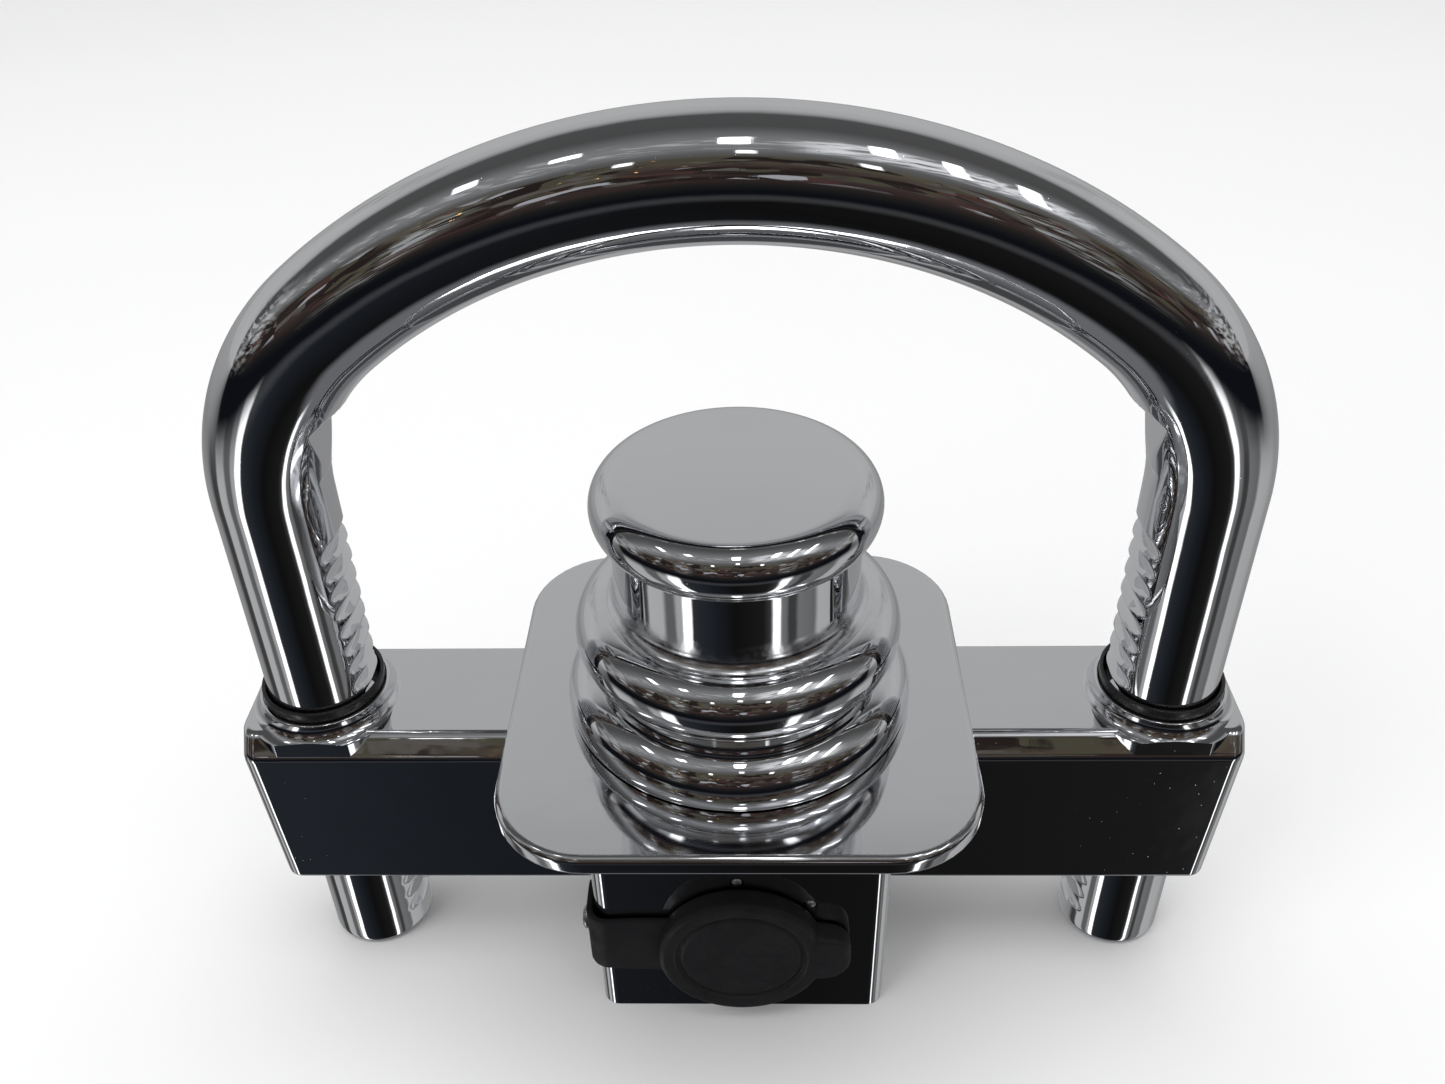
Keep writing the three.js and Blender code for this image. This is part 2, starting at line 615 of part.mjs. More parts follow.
// A pawl for the right leg. Its fork takes the cam pin above or below the lock axis.
function pawl(side) {
  const pinX = -PIN_OFFSET;
  const slotHalf = CAM_PIN_R + FORK_PLAY;
  const bridge = CAM_PIN_CIRCLE + CAM_PIN_R + GAP;
  const spanZ = (from, to) => [LOCK_Z + side * from, LOCK_Z + side * to].sort((a, b) => a - b);
  const forkEnd = pinX - slotHalf - FORK_TINE;
  const armX = [PAWL_INNER_X, PAWL_INNER_X + ARM_WIDTH];
  const footZ = spanZ(bridge, bridge + FORK_BRIDGE);
  const tineZ = spanZ(FORK_TIP, bridge + FORK_BRIDGE);
  return joined([
    pawlBar(),
    box(armX, ARM_Y, [footZ[0], PAWL_Z[1]]),
    box([forkEnd, armX[1]], ARM_Y, footZ),
    box([forkEnd, forkEnd + FORK_TINE], ARM_Y, tineZ),
    box([pinX + slotHalf, pinX + slotHalf + FORK_TINE], ARM_Y, tineZ),
  ]);
}

// The right pawl's spring, a coil along X between the body's rib and the pawl's lug.
class CoilLine extends THREE.Curve {
  constructor(from, to) {
    super();
    this.from = from;
    this.to = to;
  }
  getPoint(t) {
    const turn = 2 * HALF_TURN * SPRING_TURNS * t;
    const x = this.from + (this.to - this.from) * t;
    const z = (PAWL_Z[0] + PAWL_Z[1]) / 2 + SPRING_R * Math.sin(turn);
    return new THREE.Vector3(x, SPRING_Y + SPRING_R * Math.cos(turn), z);
  }
}

function pawlSpring() {
  const inset = GAP + SPRING_WIRE_R * 2;
  const wire = new THREE.Shape();
  wire.absarc(0, 0, SPRING_WIRE_R, 0, 2 * HALF_TURN);
  const coil = new THREE.ExtrudeGeometry(wire, {
    steps: SPRING_TURNS * SPRING_STEPS_PER_TURN,
    extrudePath: new CoilLine(RIB_X[1] + inset, LUG_X[0] - inset),
    curveSegments: SPRING_WIRE_SIDES / 2,
  });
  return solid(coil);
}

// Lock cylinder: a flanged barrel, bored for the plug and grooved for its clip.
function lockCylinder() {
  const through = [CYLINDER_Y[0] - PAST, CYLINDER_Y[1] + PAST];
  const groove = roundY(0, LOCK_Z, CYLINDER_R + PAST, CLIP_GROOVE.y).subtract(
    roundY(0, LOCK_Z, CLIP_GROOVE.r, [CLIP_GROOVE.y[0] - PAST, CLIP_GROOVE.y[1] + PAST]),
  );
  const headRoom = [through[0], PLUG_HEAD_BACK_Y + GAP];
  return roundY(0, LOCK_Z, CYLINDER_R, CYLINDER_Y)
    .add(roundY(0, LOCK_Z, CYLINDER_FLANGE_R, [CYLINDER_Y[0], CYLINDER_FLANGE_BACK_Y]))
    .subtract(roundY(0, LOCK_Z, PLUG_R + GAP, through))
    .subtract(roundY(0, LOCK_Z, PLUG_HEAD_R + GAP, headRoom))
    .subtract(groove);
}

const waferY = (index) => WAFER_FIRST_Y + index * WAFER_STEP;

function keyPlug() {
  const { halfX, z, backY } = KEYWAY;
  const frontY = PLUG_Y[0] - PAST;
  const slots = Array.from({ length: WAFERS }, (_, i) => {
    const half = WAFER.thick / 2 + GAP;
    return box(
      [-WAFER.halfX - GAP, WAFER.halfX + GAP],
      [waferY(i) - half, waferY(i) + half],
      [LOCK_Z - PLUG_R - PAST, LOCK_Z + PLUG_R + PAST],
    );
  });
  const tail = box(
    [-TAIL.halfX, TAIL.halfX],
    [PLUG_Y[1] - PAST, TAIL.backY],
    [LOCK_Z - TAIL.halfZ, LOCK_Z + TAIL.halfZ],
  );
  const screwHole = [CAM_SCREW_FRONT_Y - GAP, TAIL.backY + PAST];
  return roundY(0, LOCK_Z, PLUG_R, PLUG_Y)
    .add(roundY(0, LOCK_Z, PLUG_HEAD_R, [PLUG_Y[0], PLUG_HEAD_BACK_Y]))
    .add(tail)
    .subtract(box([-halfX, halfX], [frontY, backY], [LOCK_Z + z[0], LOCK_Z + z[1]]))
    .subtract(joined(slots))
    .subtract(roundY(0, LOCK_Z, CAM_SCREW_R + GAP, screwHole, PIN_SIDES));
}

function wafer(index) {
  const y = [waferY(index) - WAFER.thick / 2, waferY(index) + WAFER.thick / 2];
  const { halfX, halfZ, windowX, windowZ } = WAFER;
  return box([-halfX, halfX], y, [LOCK_Z - halfZ, LOCK_Z + halfZ]).subtract(
    box([-windowX, windowX], [y[0] - PAST, y[1] + PAST], windowZ.map((z) => LOCK_Z + z)),
  );
}

// Cam: a disc on the plug's tail, with a drive pin for each pawl.
function lockCam() {
  const slot = box(
    [-TAIL.halfX - GAP, TAIL.halfX + GAP],
    [CAM_Y[0] - PAST, CAM_Y[1] + PAST],
    [LOCK_Z - TAIL.halfZ - GAP, LOCK_Z + TAIL.halfZ + GAP],
  );
  const pins = [-1, 1].map((side) =>
    roundY(
      side * PIN_OFFSET,
      LOCK_Z + side * PIN_OFFSET,
      CAM_PIN_R,
      [CAM_Y[1] - PAST, CAM_PIN_BACK_Y],
      HEAD_SIDES,
    ),
  );
  return roundY(0, LOCK_Z, CAM_R, CAM_Y).add(joined(pins)).subtract(slot);
}

function camScrew() {
  const { r, y } = CAM_SCREW_HEAD;
  return roundY(0, LOCK_Z, r, y, HEAD_SIDES).add(
    roundY(0, LOCK_Z, CAM_SCREW_R, [CAM_SCREW_FRONT_Y, y[0] + GAP], PIN_SIDES),
  );
}

function cylinderClip() {
  const through = [CLIP.y[0] - PAST, CLIP.y[1] + PAST];
  const mouth = box([-CLIP.mouth / 2, CLIP.mouth / 2], through, [0, LOCK_Z]);
  return roundY(0, LOCK_Z, CLIP.outerR, CLIP.y)
    .subtract(roundY(0, LOCK_Z, CLIP.innerR, through))
    .subtract(mouth);
}

// Dust cap: a disc with a ring line on its face, a boss behind, a pull tab and its half of the strap.
function dustCap() {
  const [frontY, backY] = DUST_Y;
  const ringY = [frontY - PAST, frontY + DUST_RING.depth];
  const ring = roundY(0, LOCK_Z, DUST_RING.outerR, ringY, DISC_SIDES).subtract(
    roundY(0, LOCK_Z, DUST_RING.innerR, [ringY[0] - PAST, ringY[1] + PAST], DISC_SIDES),
  );
  const tabZ = [LOCK_Z - TAB_HALF_Z, LOCK_Z + TAB_HALF_Z];
  const tab = rounded([0, TAB_END_X], tabZ, [0, TAB_R, TAB_R, 0]);
  const strap = box(
    [-HOUSING_HALF_X - GAP + STRAP_INSET, 0],
    [backY - STRAP_THICK, backY],
    [LOCK_Z - STRAP_HALF_Z, LOCK_Z + STRAP_HALF_Z],
  );
  return roundY(0, LOCK_Z, DUST_R, DUST_Y, DISC_SIDES)
    .add(roundY(0, LOCK_Z, DUST_BOSS_R, [backY - PAST, DUST_BOSS_BACK_Y], BOSS_SIDES))
    .add(slabY(tab, DUST_Y))
    .add(strap)
    .subtract(ring);
}

// The strap's half on the housing's side, with a hole for the rivet.
function capStrap() {
  const faceX = -HOUSING_HALF_X - GAP;
  const side = rounded(
    [DUST_Y[1], STRAP_BACK_Y],
    [LOCK_Z - STRAP_HALF_Z, LOCK_Z + STRAP_HALF_Z],
    [0, STRAP_END_R, STRAP_END_R, 0],
  );
  return slabX(side, [faceX - STRAP_THICK, faceX]).subtract(rivetShank(GAP));
}

// A round bar along X at the rivet's place.
function rivetShank(margin) {
  const from = -HOUSING_HALF_X - 2 * STRAP_THICK;
  const to = RIVET.innerX + margin;
  const geometry = new THREE.CylinderGeometry(RIVET.r + margin, RIVET.r + margin, to - from, PIN_SIDES);
  return solid(geometry.rotateZ(QUARTER).translate((from + to) / 2, RIVET.y, LOCK_Z));
}

function strapRivet() {
  const faceX = -HOUSING_HALF_X - STRAP_THICK - 2 * GAP;
  const profile = [
    new THREE.Vector2(0, 0),
    new THREE.Vector2(RIVET.headR, 0),
    new THREE.Vector2(RIVET.shoulderR, RIVET.headDome / 2),
    new THREE.Vector2(RIVET.headR / 2, RIVET.headDome),
    new THREE.Vector2(0, RIVET.headDome),
  ];
  const head = new THREE.LatheGeometry(profile, HEAD_SIDES).rotateZ(QUARTER);
  const across = [RIVET.y - RIVET.headR, RIVET.y + RIVET.headR];
  const outside = box([faceX - GAP, 0], across, [0, 2 * LOCK_Z]);
  return solid(head.translate(faceX, RIVET.y, LOCK_Z)).add(rivetShank(0).intersect(outside));
}

function facePin([x, z]) {
  const profile = [
    new THREE.Vector2(0, FACE_PIN.backY),
    new THREE.Vector2(FACE_PIN.r, FACE_PIN.backY),
    new THREE.Vector2(FACE_PIN.r, HOUSING_FRONT_Y),
    new THREE.Vector2(FACE_PIN.r / 2, HOUSING_FRONT_Y - FACE_PIN.dome),
    new THREE.Vector2(0, HOUSING_FRONT_Y - FACE_PIN.dome),
  ].reverse();
  return solid(new THREE.LatheGeometry(profile, PIN_SIDES).translate(x, 0, z));
}

// Makes a piece for each side: the right one as built, the left one mirrored.
function pair(name, look, right, left = right) {
  return [
    named(name + "_left", mirrored(left), look),
    named(name + "_right", right, look),
  ];
}

const lock = new THREE.Group();
lock.add(
  named("lock_body", lockBody(), chrome),
  named("flange_plate", flangePlate(), chrome),
  named("coupler_post", couplerPost(), chrome),
  named("post_bolt", postBolt(), steel),
  named("post_washer", postWasher(), steel),
  ...pair("dowel_pin", steel, dowelPin()),
  named("shackle", shackle(), chrome),
  ...pair("leg_seal", rubber, legSeal()),
  ...pair("pawl", steel, pawl(-1), pawl(1)),
  ...pair("pawl_spring", steel, pawlSpring()),
  named("lock_cylinder", lockCylinder(), brass),
  named("key_plug", keyPlug(), brass),
  ...Array.from({ length: WAFERS }, (_, i) => named("wafer_" + (i + 1), wafer(i), brass)),
  named("lock_cam", lockCam(), steel),
  named("cam_screw", camScrew(), steel),
  named("cylinder_clip", cylinderClip(), steel),
  named("rear_cover", rearCover(), chrome),
  ...screwSpots().map((spot, i) => named("cover_screw_" + (i + 1), coverScrew(spot), steel)),
  named("dust_cap", dustCap(), rubber),
  named("cap_strap", capStrap(), rubber),
  named("strap_rivet", strapRivet(), steel),
  ...FACE_PIN_PLACES.map((spot, i) => named("face_pin_" + (i + 1), facePin(spot), steel)),
);

export default lock;
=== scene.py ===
import math

import bmesh
import bpy
import numpy as np
from mathutils import Matrix, Vector


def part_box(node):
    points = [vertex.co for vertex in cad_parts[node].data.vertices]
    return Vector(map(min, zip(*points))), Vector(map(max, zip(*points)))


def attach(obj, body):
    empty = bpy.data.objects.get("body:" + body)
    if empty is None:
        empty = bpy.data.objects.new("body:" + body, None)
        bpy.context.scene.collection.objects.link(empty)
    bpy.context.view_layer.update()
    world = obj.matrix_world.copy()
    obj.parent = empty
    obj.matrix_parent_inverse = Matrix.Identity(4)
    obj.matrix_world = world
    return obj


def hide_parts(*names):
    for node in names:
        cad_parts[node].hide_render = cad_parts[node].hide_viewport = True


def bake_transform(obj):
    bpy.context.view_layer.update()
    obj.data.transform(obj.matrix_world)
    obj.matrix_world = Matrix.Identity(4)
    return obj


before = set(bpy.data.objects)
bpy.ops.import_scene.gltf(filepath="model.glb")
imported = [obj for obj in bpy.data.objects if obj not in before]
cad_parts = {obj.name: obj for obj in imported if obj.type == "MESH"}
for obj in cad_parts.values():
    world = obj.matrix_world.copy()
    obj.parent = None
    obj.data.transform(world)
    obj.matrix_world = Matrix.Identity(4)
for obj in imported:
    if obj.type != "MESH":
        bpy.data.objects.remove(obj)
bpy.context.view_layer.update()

# A chromed trailer coupler lock. Shapes are built in millimetres and stored in metres.
MM = 0.001
TURN = 2 * math.pi


def span(node):
    """A CAD node's lowest and highest corners, in millimetres."""
    low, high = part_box(node)
    return np.array(low) / MM, np.array(high) / MM


def middle_xz(node):
    """X and Z of the middle of a CAD node, in millimetres."""
    low, high = span(node)
    return (low[0] + high[0]) / 2, (low[2] + high[2]) / 2


BODY_LOW = span("lock_body")[0]
SEAL_LOW, SEAL_HIGH = span("leg_seal_right")
PLATE_LOW, PLATE_HIGH = span("flange_plate")
POST_LOW, POST_HIGH = span("coupler_post")
CAP_LOW, CAP_HIGH = span("dust_cap")
STRAP_LOW, STRAP_HIGH = span("cap_strap")
COVER_LOW, COVER_HIGH = span("rear_cover")
CYLINDER_LOW, CYLINDER_HIGH = span("lock_cylinder")
LEG_X = (SEAL_LOW[0] + SEAL_HIGH[0]) / 2
POST_Y = (PLATE_LOW[1] + PLATE_HIGH[1]) / 2
LOCK_Z = (CYLINDER_LOW[2] + CYLINDER_HIGH[2]) / 2
GAP = 0.3  # room left between fixed pieces
AXIS_R = 0.01  # a turned profile's end beside its axis

# ---------------------------------------------------------------- mesh tools


def piece(name, points, faces, sharp=40.0):
    """A smooth-shaded object from points in millimetres, with edges over the angle kept sharp."""
    mesh = bpy.data.meshes.new(name)
    mesh.from_pydata((np.asarray(points, float) * MM).tolist(), [], faces)
    work = bmesh.new()
    work.from_mesh(mesh)
    bmesh.ops.recalc_face_normals(work, faces=work.faces)
    work.to_mesh(mesh)
    work.free()
    made = bpy.data.objects.new(name, mesh)
    bpy.context.scene.collection.objects.link(made)
    shade(made, sharp)
    return made


def shade(made, sharp):
    made.data.shade_smooth()
    made.data.set_sharp_from_angle(angle=math.radians(sharp))


def weigh_normals(made):
    """Large faces keep their own direction, so that flats mirror flatly beside round edges."""
    rule = made.modifiers.new("weighted normals", "WEIGHTED_NORMAL")
    rule.mode = "FACE_AREA"
    rule.weight = 100
    rule.keep_sharp = True
    return made


def skin(rings, closed=False):
    """Faces over a stack of equal rings, with a face over each end unless it closes on itself."""
    count, around = len(rings), len(rings[0])
    faces = []
    for i in range(count if closed else count - 1):
        low, high = i * around, (i + 1) % count * around
        faces += [
            (low + j, low + (j + 1) % around, high + (j + 1) % around, high + j)
            for j in range(around)
        ]
    if not closed:
        faces += [tuple(range(around))[::-1], tuple((count - 1) * around + j for j in range(around))]
    return np.concatenate(rings), faces


def turned(name, profile, centre=(0, 0, 0), axis="Z", sides=160, closed=False, sharp=40.0):
    """A profile of (radius, height) pairs turned about an axis."""
    turn = np.arange(sides) / sides * TURN
    rings = []
    for radius, height in profile:
        flat = (radius * np.cos(turn), radius * np.sin(turn), np.full(sides, height))
        order = {"Z": (0, 1, 2), "Y": (0, 2, 1), "X": (2, 0, 1)}[axis]
        rings.append(np.stack([flat[k] for k in order], 1) + centre)
    points, faces = skin(rings, closed)
    return piece(name, points, faces, sharp)


def arc(centre_r, centre_h, radius, start, stop, steps=10):
    """Points of an arc in a turned profile; angles in degrees, 90 points along the height."""
    turns = np.radians(np.linspace(start, stop, steps + 1))
    return [(centre_r + radius * math.cos(t), centre_h + radius * math.sin(t)) for t in turns]


def rounded_outline(half_a, half_b, radius, inset=0.0, steps=12):
    """A rectangle's outline with round corners, moved inwards by the inset."""
    r = max(radius - inset, 0.05)
    outline = []
    for k, (sa, sb) in enumerate([(1, 1), (-1, 1), (-1, -1), (1, -1)]):
        turns = np.radians(np.linspace(90 * k, 90 * k + 90, steps + 1))
        a = sa * (half_a - inset - r) + r * np.cos(turns)
        b = sb * (half_b - inset - r) + r * np.sin(turns)
        outline.append(np.stack([a, b], 1))
    return np.concatenate(outline)


def edge_steps(low, high, radius_low, radius_high, steps=5):
    """Insets and heights that round both rims of a slab, from its low face to its high face."""
    quarter = np.radians(np.linspace(0, 90, steps + 1))
    steps_up = []
    for t in quarter:
        steps_up.append((radius_low * (1 - math.sin(t)), low + radius_low * (1 - math.cos(t))))
    for t in quarter:
        steps_up.append((radius_high * (1 - math.cos(t)), high - radius_high * (1 - math.sin(t))))
    return steps_up


def slab(name, half_x, half_y, corner, z, rims, centre=(0, 0)):
    """A flat slab in X and Y with round corners and round rims."""
    rings = []
    for inset, height in edge_steps(*z, *rims):
        outline = rounded_outline(half_x, half_y, corner, inset) + centre
        rings.append(np.column_stack([outline, np.full(len(outline), height)]))
    points, faces = skin(rings)
    return weigh_normals(piece(name, points, faces, 60))


def boolean(made, tool, operation):
    """Joins or cuts with another object, which is used up."""
    step = made.modifiers.new("step", "BOOLEAN")
    step.operation = operation
    step.solver = "EXACT"
    step.object = tool
    apply_modifiers(made)
    bpy.data.objects.remove(tool)
    return made


def apply_modifiers(made):
    shape = bpy.data.meshes.new_from_object(
        made.evaluated_get(bpy.context.evaluated_depsgraph_get())
    )
    made.modifiers.clear()
    made.data = shape
    return made


def block(name, x, y, z):
    """A plain box, used to cut or to start a bevelled shape."""
    corners = [(a, b, c) for c in z for b in y for a in x]
    faces = [
        (0, 1, 3, 2), (4, 5, 7, 6), (0, 1, 5, 4), (2, 3, 7, 6), (0, 2, 6, 4), (1, 3, 7, 5),
    ]
    return piece(name, corners, faces)


def bevel_edges(made, width, steps, chosen):
    """Rounds the edges for which chosen(start, end) is true; points in millimetres."""
    work = bmesh.new()
    work.from_mesh(made.data)
    edges = [
        e for e in work.edges
        if chosen(np.array(e.verts[0].co) / MM, np.array(e.verts[1].co) / MM)
    ]
    bmesh.ops.bevel(
        work, geom=edges, offset=width * MM, segments=steps, profile=0.5,
        affect="EDGES", clamp_overlap=True,
    )
    work.to_mesh(made.data)
    work.free()
    return made


def round_all(made, width, steps=3, angle=28.0):
    """Rounds every edge sharper than the angle."""
    rule = made.modifiers.new("rim", "BEVEL")
    rule.width = width * MM
    rule.segments = steps
    rule.limit_method = "ANGLE"
    rule.angle_limit = math.radians(angle)
    return apply_modifiers(made)


# ---------------------------------------------------------------- shackle

BAR_R = 9.6
CORNER_R = 39.6
BOW_R = 93.8
STRAIGHT_TOP = 102.9
INWARD = (-1.0, 0.0)
FOOT_ROUND = 1.4
PLAIN_Z, HALF_CUT_Z, CUT_Z = 2.2, 3.0, 4.0

# The cut on each leg's inner side, by height: teeth, a flat, a deeper band and its run-out.
FLAT_X = LEG_X - 9.4
BAND_X = 63.75
BAND_START = (107.2, 108.2)
RUN_OUT = (116.8, 121.5)
RUN_OUT_DEPTH = 6.0
TOOTH_PITCH = 3.97
TOOTH_ZERO = 37.2
TOOTH_START = (4.2, 5.2)
TOOTH_TOP = 96.6
TOOTH_FADE = 0.6
TOOTH_HEIGHTS = np.array([0, 0.14, 0.34, 0.8, 1.5, 2.3, 2.9, 3.3, 3.6, 3.85, 3.97])
TOOTH_DEPTHS = np.array([0.12, 1.15, 1.8, 2.0, 1.9, 1.5, 0.95, 0.4, 0.08, 0.0, 0.12])

# How finely the bar is divided: round its section, along the leg and round the bend.
CUT_ROUND = 0.3
CUT_REACH = 0.8
CUT_FACING = 0.3
CUT_POINTS = 61
BACK_POINTS = 58
LEAST_SLOPE = 0.2
FINE_START, COARSE_START = 3.8, 97.0
FINE_STEP, COARSE_STEP = 0.28, 0.8
FINE_TURN, CUT_TURN = 0.52, 0.6
FINE_TURN_STEPS, CORNER_STEPS, BOW_STEPS = 66, 20, 36


def smooth(value, start, stop):
    t = np.clip((value - start) / (stop - start), 0, 1)
    return t * t * (3 - 2 * t)


def cut_plane(z):
    """X of the cut on the right leg's inner side, at each height."""
    depth = np.interp((z - TOOTH_ZERO) % TOOTH_PITCH, TOOTH_HEIGHTS, TOOTH_DEPTHS)
    fade = (1 - smooth(z, TOOTH_TOP - TOOTH_FADE, TOOTH_TOP)) * smooth(z, *TOOTH_START)
    plane = FLAT_X + depth * fade
    plane = plane + (BAND_X - FLAT_X) * smooth(z, *BAND_START)
    return plane - RUN_OUT_DEPTH * smooth(z, *RUN_OUT)


def ring_angles():
    """Angles round the bar's section, from its cut side: close steps there, wider ones behind."""
    cut_side = np.linspace(-CUT_REACH, CUT_REACH, CUT_POINTS)
    behind = np.linspace(CUT_REACH, TURN - CUT_REACH, BACK_POINTS + 2)[1:-1]
    return np.concatenate([cut_side, behind])


def section(centre, inward, bare=False):
    """One ring of the right leg: a circle, cut flat on the side towards the lock's middle."""
    x, z = centre
    theta = ring_angles()
    toward = np.cos(theta)
    r = np.full(len(theta), BAR_R)
    if not bare:
        for _ in range(3):
            face = (x - cut_plane(z + inward[1] * r * toward)) / max(-inward[0], LEAST_SLOPE)
            reached = face / np.maximum(toward, CUT_FACING)
            limit = np.where(toward > CUT_FACING, reached, 2 * BAR_R)
            near = np.maximum(CUT_ROUND - np.abs(limit - BAR_R), 0) / CUT_ROUND
            r = np.minimum(limit, BAR_R) - near * near * CUT_ROUND / 4
    return np.stack(
        [x + inward[0] * r * toward, r * np.sin(theta), z + inward[1] * r * toward], 1
    )


def leg_rings():
    """Rings of the right leg from its rounded foot to the top of its straight part."""
    foot = section((LEG_X, CUT_Z), INWARD, bare=True) - (LEG_X, 0, CUT_Z)
    rings = []
    for t in np.radians(np.linspace(90, 0, 9)):
        shrink = 1 - FOOT_ROUND * (1 - math.cos(t)) / BAR_R
        rings.append(foot * (shrink, shrink, 0) + (LEG_X, 0, FOOT_ROUND * (1 - math.sin(t))))
    rings += [foot * (1, 1, 0) + (LEG_X, 0, z) for z in (PLAIN_Z, HALF_CUT_Z)]
    lowered = section((LEG_X, CUT_Z), INWARD) - (0, 0, CUT_Z - HALF_CUT_Z)
    rings[-1] = rings[-1] * 0.5 + lowered * 0.5
    fine = np.arange(FINE_START, COARSE_START, FINE_STEP)
    coarse = np.arange(COARSE_START, STRAIGHT_TOP, COARSE_STEP)
    return rings + [section((LEG_X, z), INWARD) for z in np.concatenate([fine, coarse])]


def bend_rings():
    """Rings from the top of the straight leg to the middle of the bow."""
    corner_x = LEG_X - CORNER_R
    bow_z = STRAIGHT_TOP - math.sqrt((BOW_R - CORNER_R) ** 2 - corner_x**2)
    meet = math.atan2(STRAIGHT_TOP - bow_z, corner_x)
    fine = np.linspace(0, FINE_TURN, FINE_TURN_STEPS)[:-1]
    coarse = np.linspace(FINE_TURN, meet, CORNER_STEPS)[:-1]
    rings = []
    for turn in np.concatenate([fine, coarse]):
        toward = (math.cos(turn), math.sin(turn))
        centre = (corner_x + CORNER_R * toward[0], STRAIGHT_TOP + CORNER_R * toward[1])
        rings.append(section(centre, (-toward[0], -toward[1]), bare=turn > CUT_TURN))
    for turn in np.linspace(meet, math.pi / 2, BOW_STEPS):
        toward = (math.cos(turn), math.sin(turn))
        centre = (BOW_R * toward[0], bow_z + BOW_R * toward[1])
        rings.append(section(centre, (-toward[0], -toward[1]), bare=True))
    return rings


def make_shackle():
    right = leg_rings() + bend_rings()
    left = [ring * (-1, 1, 1) for ring in right[:-1]]
    points, faces = skin(right + left[::-1])
    made = piece("shackle_bar_polished", points, faces, 38)
    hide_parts("shackle")
    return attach(made, "shackle_bar")


# ---------------------------------------------------------------- casting

BAR_HALF_X = 87.5
BAR_DRAFT = 1.9
BAR_Y = (-13.0, 13.0)
BAR_Z = (24.5, PLATE_LOW[2] - GAP)
BEVEL_Y = 3.1
BEVEL_Z = 3.5
BAR_CORNER_R = 3.0
BAR_RIM_R = 0.9
END_X = 80
UPRIGHT_LENGTH = 20
CASTING_ANGLE = 24
HOUSING_X = -STRAP_HIGH[0] - GAP
HOUSING_CORNER_R = 3.0
HOUSING_FOOT_R = 4.0
HOUSING_RIM_R = 0.7
LEG_BORE_R = 9.9

# The boss round each bore: its radius at the foot and on top, its flare across and up.
BOSS_TOP = SEAL_HIGH[2] - 2.0
BOSS_ROOT_Z = 50
BOSS_R = 14.1
BOSS_TOP_R = 11.1
BOSS_RIM_R = 0.3
BOSS_SINK = 0.3
BOSS_FLARE = (2.7, 3.0)
BOSS_ROOM = ((0, 87.1), (-12.6, 12.6), (40, 70))

# Rooms cut in the casting: spans in X, Y and Z, and radii of the round ones.
PAWL_GUIDE = ((56, 66), (-4.3, 4.3), (36.7, 45.3))
PAWL_POCKET = ((-58.2, 58.2), (-4.6, 15), (36.4, 45.6))
CAM_POCKET = ((-21.4, 21.4), (-3.4, 15), (8, 38))
RECESS_Y = (10.2, 20)
BARREL_R, BARREL_Y = 9.3, (-30, 0)
MOUTH_R, MOUTH_RIM_R, MOUTH_Y = 12.3, 12.8, (-40, -18.3)
BOLT_ROOM_R, BOLT_ROOM_Z = 9.3, (36, 47)
BOLT_HOLE_R, BOLT_HOLE_Z = 5.3, (46, 70)
PIN_HOLE_R, PIN_HOLE_Y = 1.15, (-30, -13)
SEAL_GAP = 0.25
BORE_LIP = 0.15
BORE_Z = (20, 70)

COVER_STEM_X = 24.6
COVER_SHOULDER_Z = 31.0
COVER_CORNER_R = 4.0


def cross_bar():
    """The bar with its drafted ends, its sloping top front edge and round corners."""
    side = [
        (BAR_Y[0], BAR_Z[0]), (BAR_Y[1], BAR_Z[0]), (BAR_Y[1], BAR_Z[1]),
        (BAR_Y[0] + BEVEL_Y, BAR_Z[1]), (BAR_Y[0], BAR_Z[1] - BEVEL_Z),
    ]
    rings = []
    for sign in (-1, 1):
        ring = []
        for y, z in side:
            draft = BAR_DRAFT * (BAR_Z[1] - z) / (BAR_Z[1] - BAR_Z[0])
            ring.append((sign * (BAR_HALF_X - draft), y, z))
        rings.append(np.array(ring))
    points, faces = skin(rings)
    made = piece("cross_bar", points, faces)

    def at_end(a, b):
        upright = abs(a[2] - b[2]) > UPRIGHT_LENGTH
        front_bevel = abs(a[0] - b[0]) < 1 and abs(a[2] - b[2]) > 2 and a[1] < 0
        return abs(a[0]) > END_X and (upright or front_bevel)

    bevel_edges(made, BAR_CORNER_R, 6, at_end)
    return round_all(made, BAR_RIM_R, 4, CASTING_ANGLE)


def lock_housing():
    """The block under the bar's middle, a little short of its back and top to join cleanly."""
    depth = (BODY_LOW[1], BAR_Y[1] - 0.02)
    made = block("housing", (-HOUSING_X, HOUSING_X), depth, (0, BAR_Z[1] - 0.4))

    def front_upright(a, b):
        return abs(a[2] - b[2]) > UPRIGHT_LENGTH and a[1] < 0

    def foot(a, b):
        return max(a[2], b[2]) < 1 and abs(a[1] - b[1]) > 10

    bevel_edges(made, HOUSING_CORNER_R, 7, front_upright)
    bevel_edges(made, HOUSING_FOOT_R, 7, foot)
    return round_all(made, HOUSING_RIM_R, 3, CASTING_ANGLE)


